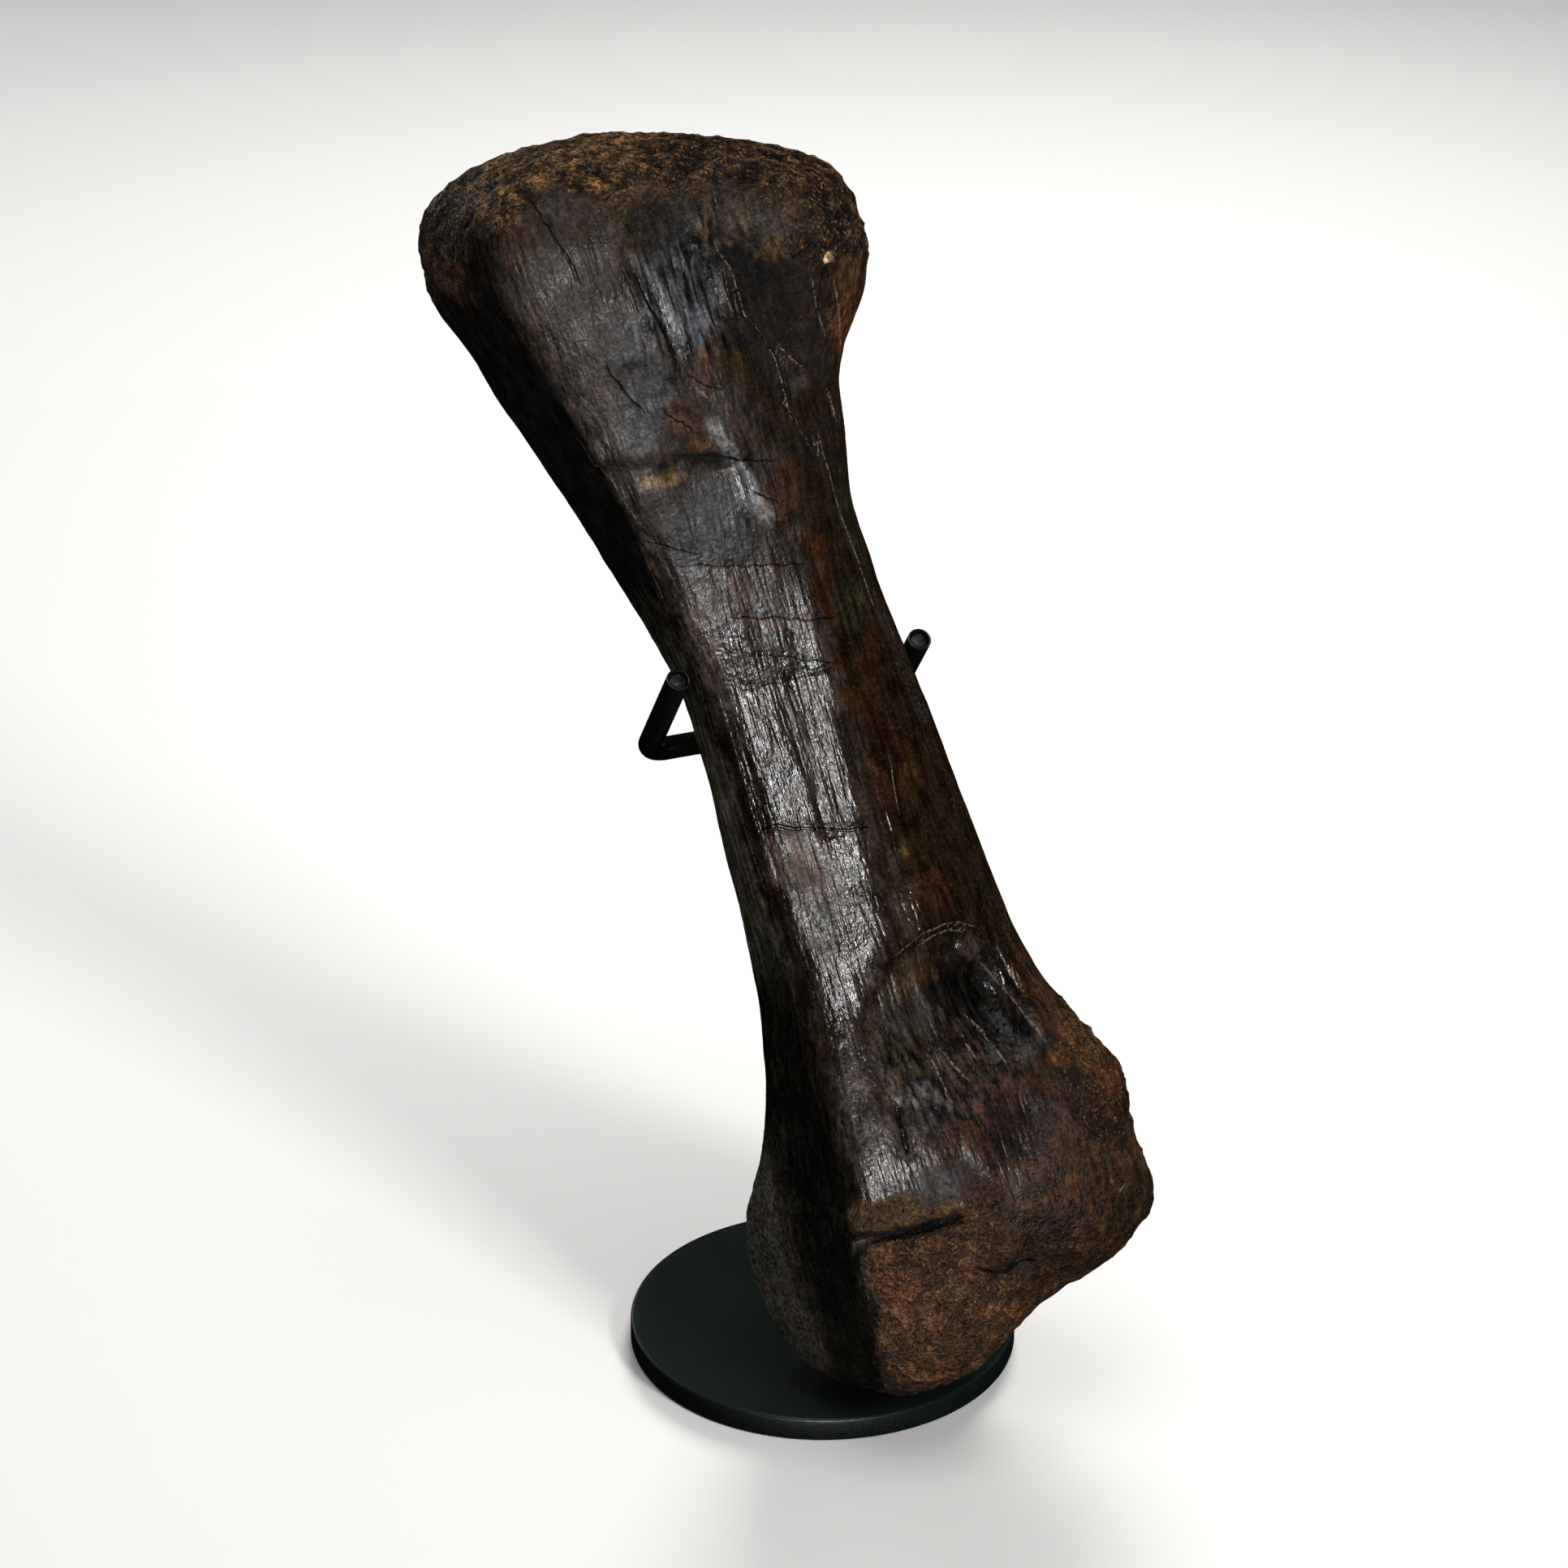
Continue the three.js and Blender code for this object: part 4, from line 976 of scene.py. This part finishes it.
PLATE_RADIUS = 0.0508
PLATE_THICKNESS = 0.00635
PLATE_TOP_BEVEL = 0.0009
PLATE_FOOT_BEVEL = 0.0005
PLATE_RINGS = (0.006, 0.014)
POST_RADIUS = 0.003175
POST_ALONG_CROSSBAR = 0.009
POST_BELOW_CROSSBAR = 0.0012
POST_BEVEL = 0.0009
WELD_SPREAD = 1.22
WELD_HEIGHT = 0.0008
ROD_RADIUS = 0.0022
BEND_RADIUS = 0.005
CROSSBAR_HALF = 0.03225
CROSSBAR_MIDDLE = Vector((-0.015, 0.0243, 0.1654))
ARM_LENGTH = 0.0374
CRADLE_YAW = math.radians(21.8)
ARM_RISE = math.radians(52)
SLEEVE_RADIUS = 0.003
SLEEVE_WALL = 0.0005
SLEEVE_PAST_TIP = 0.0011
SLEEVE_ON_CROSSBAR = 0.019
SLEEVE_RIM = 0.00018
# The rounded ends of the rod, ring by ring: how far in, then how far out along the arm.
ROD_END = ((0.0003, 0.0002), (0.0004, 0.00016), (0.0005, 0.0001), (0.0005, 0.00004))
ROD_END_REACH = 0.0024
BEND_STEPS = 9

ACROSS = Vector((math.cos(CRADLE_YAW), math.sin(CRADLE_YAW), 0))
UP_ARM = Vector((
    math.sin(CRADLE_YAW) * math.cos(ARM_RISE),
    -math.cos(CRADLE_YAW) * math.cos(ARM_RISE),
    math.sin(ARM_RISE),
))


def edit(obj):
    only(obj)
    bpy.ops.object.mode_set(mode="EDIT")
    bpy.ops.mesh.select_all(action="DESELECT")


def pick(obj, kind, test):
    """Selects, in edit mode, the vertices, edges or faces whose middle passes a test."""
    bpy.ops.mesh.select_mode(type={"verts": "VERT", "edges": "EDGE", "faces": "FACE"}[kind])
    bpy.ops.mesh.select_all(action="DESELECT")
    form = bmesh.from_edit_mesh(obj.data)
    for part in getattr(form, kind):
        if kind == "verts":
            part.select = test(part.co, part)
        elif kind == "edges":
            part.select = test((part.verts[0].co + part.verts[1].co) / 2, part)
        else:
            part.select = test(part.calc_center_median(), part)
    form.select_flush_mode()
    bmesh.update_edit_mesh(obj.data)


def place_in_mesh(obj):
    bpy.ops.object.mode_set(mode="OBJECT")
    only(obj)
    bpy.ops.object.transform_apply(location=True, rotation=True, scale=True)
    bpy.ops.object.shade_smooth_by_angle(angle=math.radians(35))


def make_plate():
    bpy.ops.object.select_all(action="DESELECT")
    bpy.ops.mesh.primitive_cylinder_add(
        vertices=160, radius=PLATE_RADIUS, depth=PLATE_THICKNESS, location=(0, 0, PLATE_THICKNESS / 2)
    )
    plate = bpy.context.object
    edit(plate)
    half = PLATE_THICKNESS / 2
    pick(plate, "edges", lambda at, edge: at.z > half - CLOSE)
    bpy.ops.mesh.bevel(offset=PLATE_TOP_BEVEL, segments=4, affect="EDGES")
    pick(plate, "edges", lambda at, edge: at.z < CLOSE - half)
    bpy.ops.mesh.bevel(offset=PLATE_FOOT_BEVEL, segments=2, affect="EDGES")
    for width in PLATE_RINGS:
        pick(plate, "faces", lambda at, face: abs(face.normal.z) > 0.99 and len(face.verts) > 8)
        bpy.ops.mesh.inset(thickness=width)
    place_in_mesh(plate)
    return finished(plate, "base_plate", [plate_paint], ["base_disc"])


def make_post():
    top = CROSSBAR_MIDDLE + POST_ALONG_CROSSBAR * ACROSS
    height = top.z - POST_BELOW_CROSSBAR - PLATE_THICKNESS
    bpy.ops.object.select_all(action="DESELECT")
    bpy.ops.mesh.primitive_cylinder_add(
        vertices=48, radius=POST_RADIUS, depth=height, location=(top.x, top.y, PLATE_THICKNESS + height / 2)
    )
    post = bpy.context.object
    edit(post)
    pick(post, "edges", lambda at, edge: at.z > height / 2 - CLOSE)
    bpy.ops.mesh.bevel(offset=POST_BEVEL, segments=3, affect="EDGES")
    pick(post, "faces", lambda at, face: face.normal.z < -0.99)
    bpy.ops.mesh.extrude_region_move()
    bpy.ops.transform.resize(value=(WELD_SPREAD, WELD_SPREAD, 1))
    foot = MERGE - height / 2
    pick(post, "verts", lambda at, vert: at.z < foot and at.xy.length < POST_RADIUS * 1.05)
    bpy.ops.transform.translate(value=(0, 0, WELD_HEIGHT))
    place_in_mesh(post)
    return finished(post, "stand_post", [plate_paint], ["post"])


def bent_tube(radius, sides, start, straights):
    """A circle at the start, drawn along each straight and turned a quarter round each bend."""
    bpy.ops.object.select_all(action="DESELECT")
    facing = straights[0][0].to_track_quat("Z", "Y").to_euler()
    bpy.ops.mesh.primitive_circle_add(vertices=sides, radius=radius, location=start, rotation=facing)
    tube = bpy.context.object
    bpy.ops.object.transform_apply(location=True, rotation=True, scale=True)
    bpy.ops.object.mode_set(mode="EDIT")
    bpy.ops.mesh.select_mode(type="EDGE")
    bpy.ops.mesh.select_all(action="SELECT")
    here = Vector(start)
    for number, (direction, length) in enumerate(straights):
        bpy.ops.mesh.extrude_region_move(TRANSFORM_OT_translate={"value": direction * length})
        here = here + direction * length
        if number + 1 < len(straights):
            turned = straights[number + 1][0]
            centre = here + BEND_RADIUS * turned
            axis = direction.cross(turned).normalized()
            bpy.ops.mesh.spin(steps=BEND_STEPS, angle=-math.pi / 2, center=centre, axis=axis)
            here = here + BEND_RADIUS * (direction + turned)
    bpy.ops.mesh.select_all(action="SELECT")
    bpy.ops.mesh.remove_doubles(threshold=MERGE)
    bpy.ops.mesh.normals_make_consistent(inside=False)
    return tube


def make_rod():
    left = CROSSBAR_MIDDLE - CROSSBAR_HALF * ACROSS + ARM_LENGTH * UP_ARM
    right = CROSSBAR_MIDDLE + CROSSBAR_HALF * ACROSS + ARM_LENGTH * UP_ARM
    arm = ARM_LENGTH - BEND_RADIUS
    rod = bent_tube(ROD_RADIUS, 32, left,
                    [(-UP_ARM, arm), (ACROSS, 2 * (CROSSBAR_HALF - BEND_RADIUS)), (UP_ARM, arm)])
    bpy.ops.mesh.fill_holes(sides=0)
    bpy.ops.mesh.normals_make_consistent(inside=False)
    rod.data.materials.append(plate_paint)
    rod.data.materials.append(sawn_steel)
    pick(rod, "faces", lambda at, face: len(face.verts) > 8)
    for step, rise in ROD_END:
        bpy.ops.mesh.inset(thickness=step)
        bpy.ops.transform.translate(value=rise * UP_ARM)
    pick(rod, "faces", lambda at, face: min((at - left).length, (at - right).length) < ROD_END_REACH
         and face.normal.dot(UP_ARM) > 0.97)
    rod.active_material_index = 1
    bpy.ops.object.material_slot_assign()
    place_in_mesh(rod)
    return finished(rod, "cradle", [plate_paint, sawn_steel], ["cradle_rod"])


def make_sleeve(name, side):
    corner = CROSSBAR_MIDDLE + side * CROSSBAR_HALF * ACROSS
    reach = ARM_LENGTH + SLEEVE_PAST_TIP
    tip = corner + reach * UP_ARM
    sleeve = bent_tube(SLEEVE_RADIUS, 40, tip,
                       [(-UP_ARM, reach - BEND_RADIUS), (-side * ACROSS, SLEEVE_ON_CROSSBAR - BEND_RADIUS)])
    bpy.ops.object.mode_set(mode="OBJECT")
    wall = sleeve.modifiers.new("wall", "SOLIDIFY")
    wall.thickness = SLEEVE_WALL
    wall.offset = -1
    only(sleeve)
    bpy.ops.object.modifier_apply(modifier=wall.name)
    rim = sleeve.modifiers.new("rim", "BEVEL")
    rim.width = SLEEVE_RIM
    rim.segments = 2
    rim.limit_method = "ANGLE"
    rim.angle_limit = math.radians(50)
    bpy.ops.object.modifier_apply(modifier=rim.name)
    place_in_mesh(sleeve)
    return finished(sleeve, f"sleeve_{name}_tube", [sleeve_plastic], [f"sleeve_{name}"])


plate_paint = paint_material("plate_paint", paint(9, 20, 16), 0.42)
sleeve_plastic = paint_material("sleeve_plastic", paint(12, 17, 14), 0.2, 500)
sawn_steel = steel_material()
make_plate()
make_post()
make_rod()
make_sleeve("left", -1)
make_sleeve("right", 1)


# ---- Floor, light and camera ----

FLOOR_SIZE = 6
FLOOR_DROP = 0.0002
FLOOR_COLOUR = (0.72, 0.71, 0.69)
SKY_COLOUR = (0.9, 0.92, 0.95)
SKY_STRENGTH = 0.24
LENS = 112.12
SENSOR = 36
CAMERA_PLACE = (-0.0102, -1.0964, 0.7048)
CAMERA_DOWN = 26.325
KEY_PLACE = (0.04, -1.22, 0.27)

LAMPS = [
    # name, place, aim, width, height, power, spread in degrees, what it leaves out
    ("key", KEY_PLACE, (0, 0, 0.18), 0.09, 0.47, 1.45, 60, "diffuse"),
    ("key_frame", KEY_PLACE, (0, 0, 0.18), 0.32, 0.52, 0.17, 60, "diffuse"),
    ("raking", (0.93, -1.03, 0.97), (0, 0, 0.16), 0.3, 0.3, 4.9, 90, "glossy"),
    ("top", (0.1, -0.2, 1.6), (0, 0, 0.15), 0.9, 0.9, 7, 180, None),
    ("left_rim", (-0.7, 1.2, 0.55), (-0.02, 0, 0.17), 0.25, 0.9, 2, 180, None),
    ("right_rim", (1.2, 0.7, 0.6), (-0.02, 0, 0.17), 0.3, 0.8, 0.6, 180, None),
    ("back", (0.2, 1.5, 1.0), (0, 0, 0.15), 0.7, 0.7, 9, 90, "glossy"),
]


def make_floor():
    bpy.ops.object.select_all(action="DESELECT")
    bpy.ops.mesh.primitive_plane_add(size=FLOOR_SIZE, location=(0, 0, -FLOOR_DROP))
    floor = bpy.context.object
    floor.name = "floor"
    material, tree, shader = new_material("floor")
    feed(tree, shader.inputs["Base Color"], FLOOR_COLOUR)
    feed(tree, shader.inputs["Roughness"], 0.9)
    floor.data.materials.append(material)
    floor.visible_glossy = False
    floor.visible_diffuse = False


def area_light(name, place, aim, width, height, power, spread, left_out):
    data = bpy.data.lights.new(name, "AREA")
    data.shape = "RECTANGLE"
    data.size = width
    data.size_y = height
    data.energy = power
    data.spread = math.radians(spread)
    lamp = bpy.data.objects.new(name, data)
    bpy.context.collection.objects.link(lamp)
    lamp.location = place
    lamp.rotation_euler = (Vector(aim) - Vector(place)).to_track_quat("-Z", "Y").to_euler()
    lamp.visible_diffuse = left_out != "diffuse"
    lamp.visible_glossy = left_out != "glossy"


make_floor()
for lamp in LAMPS:
    area_light(*lamp)

world = bpy.data.worlds.new("studio")
world.use_nodes = True
sky = world.node_tree.nodes["Background"].inputs
sky["Color"].default_value = (*SKY_COLOUR, 1)
sky["Strength"].default_value = SKY_STRENGTH
world.cycles_visibility.glossy = False
bpy.context.scene.world = world

lens = bpy.data.cameras.new("camera")
lens.lens = LENS
lens.sensor_width = SENSOR
camera = bpy.data.objects.new("camera", lens)
bpy.context.collection.objects.link(camera)
camera.location = CAMERA_PLACE
camera.rotation_euler = Euler((math.radians(90 - CAMERA_DOWN), 0, 0))
bpy.context.scene.camera = camera
bpy.context.scene.view_settings.view_transform = "Standard"
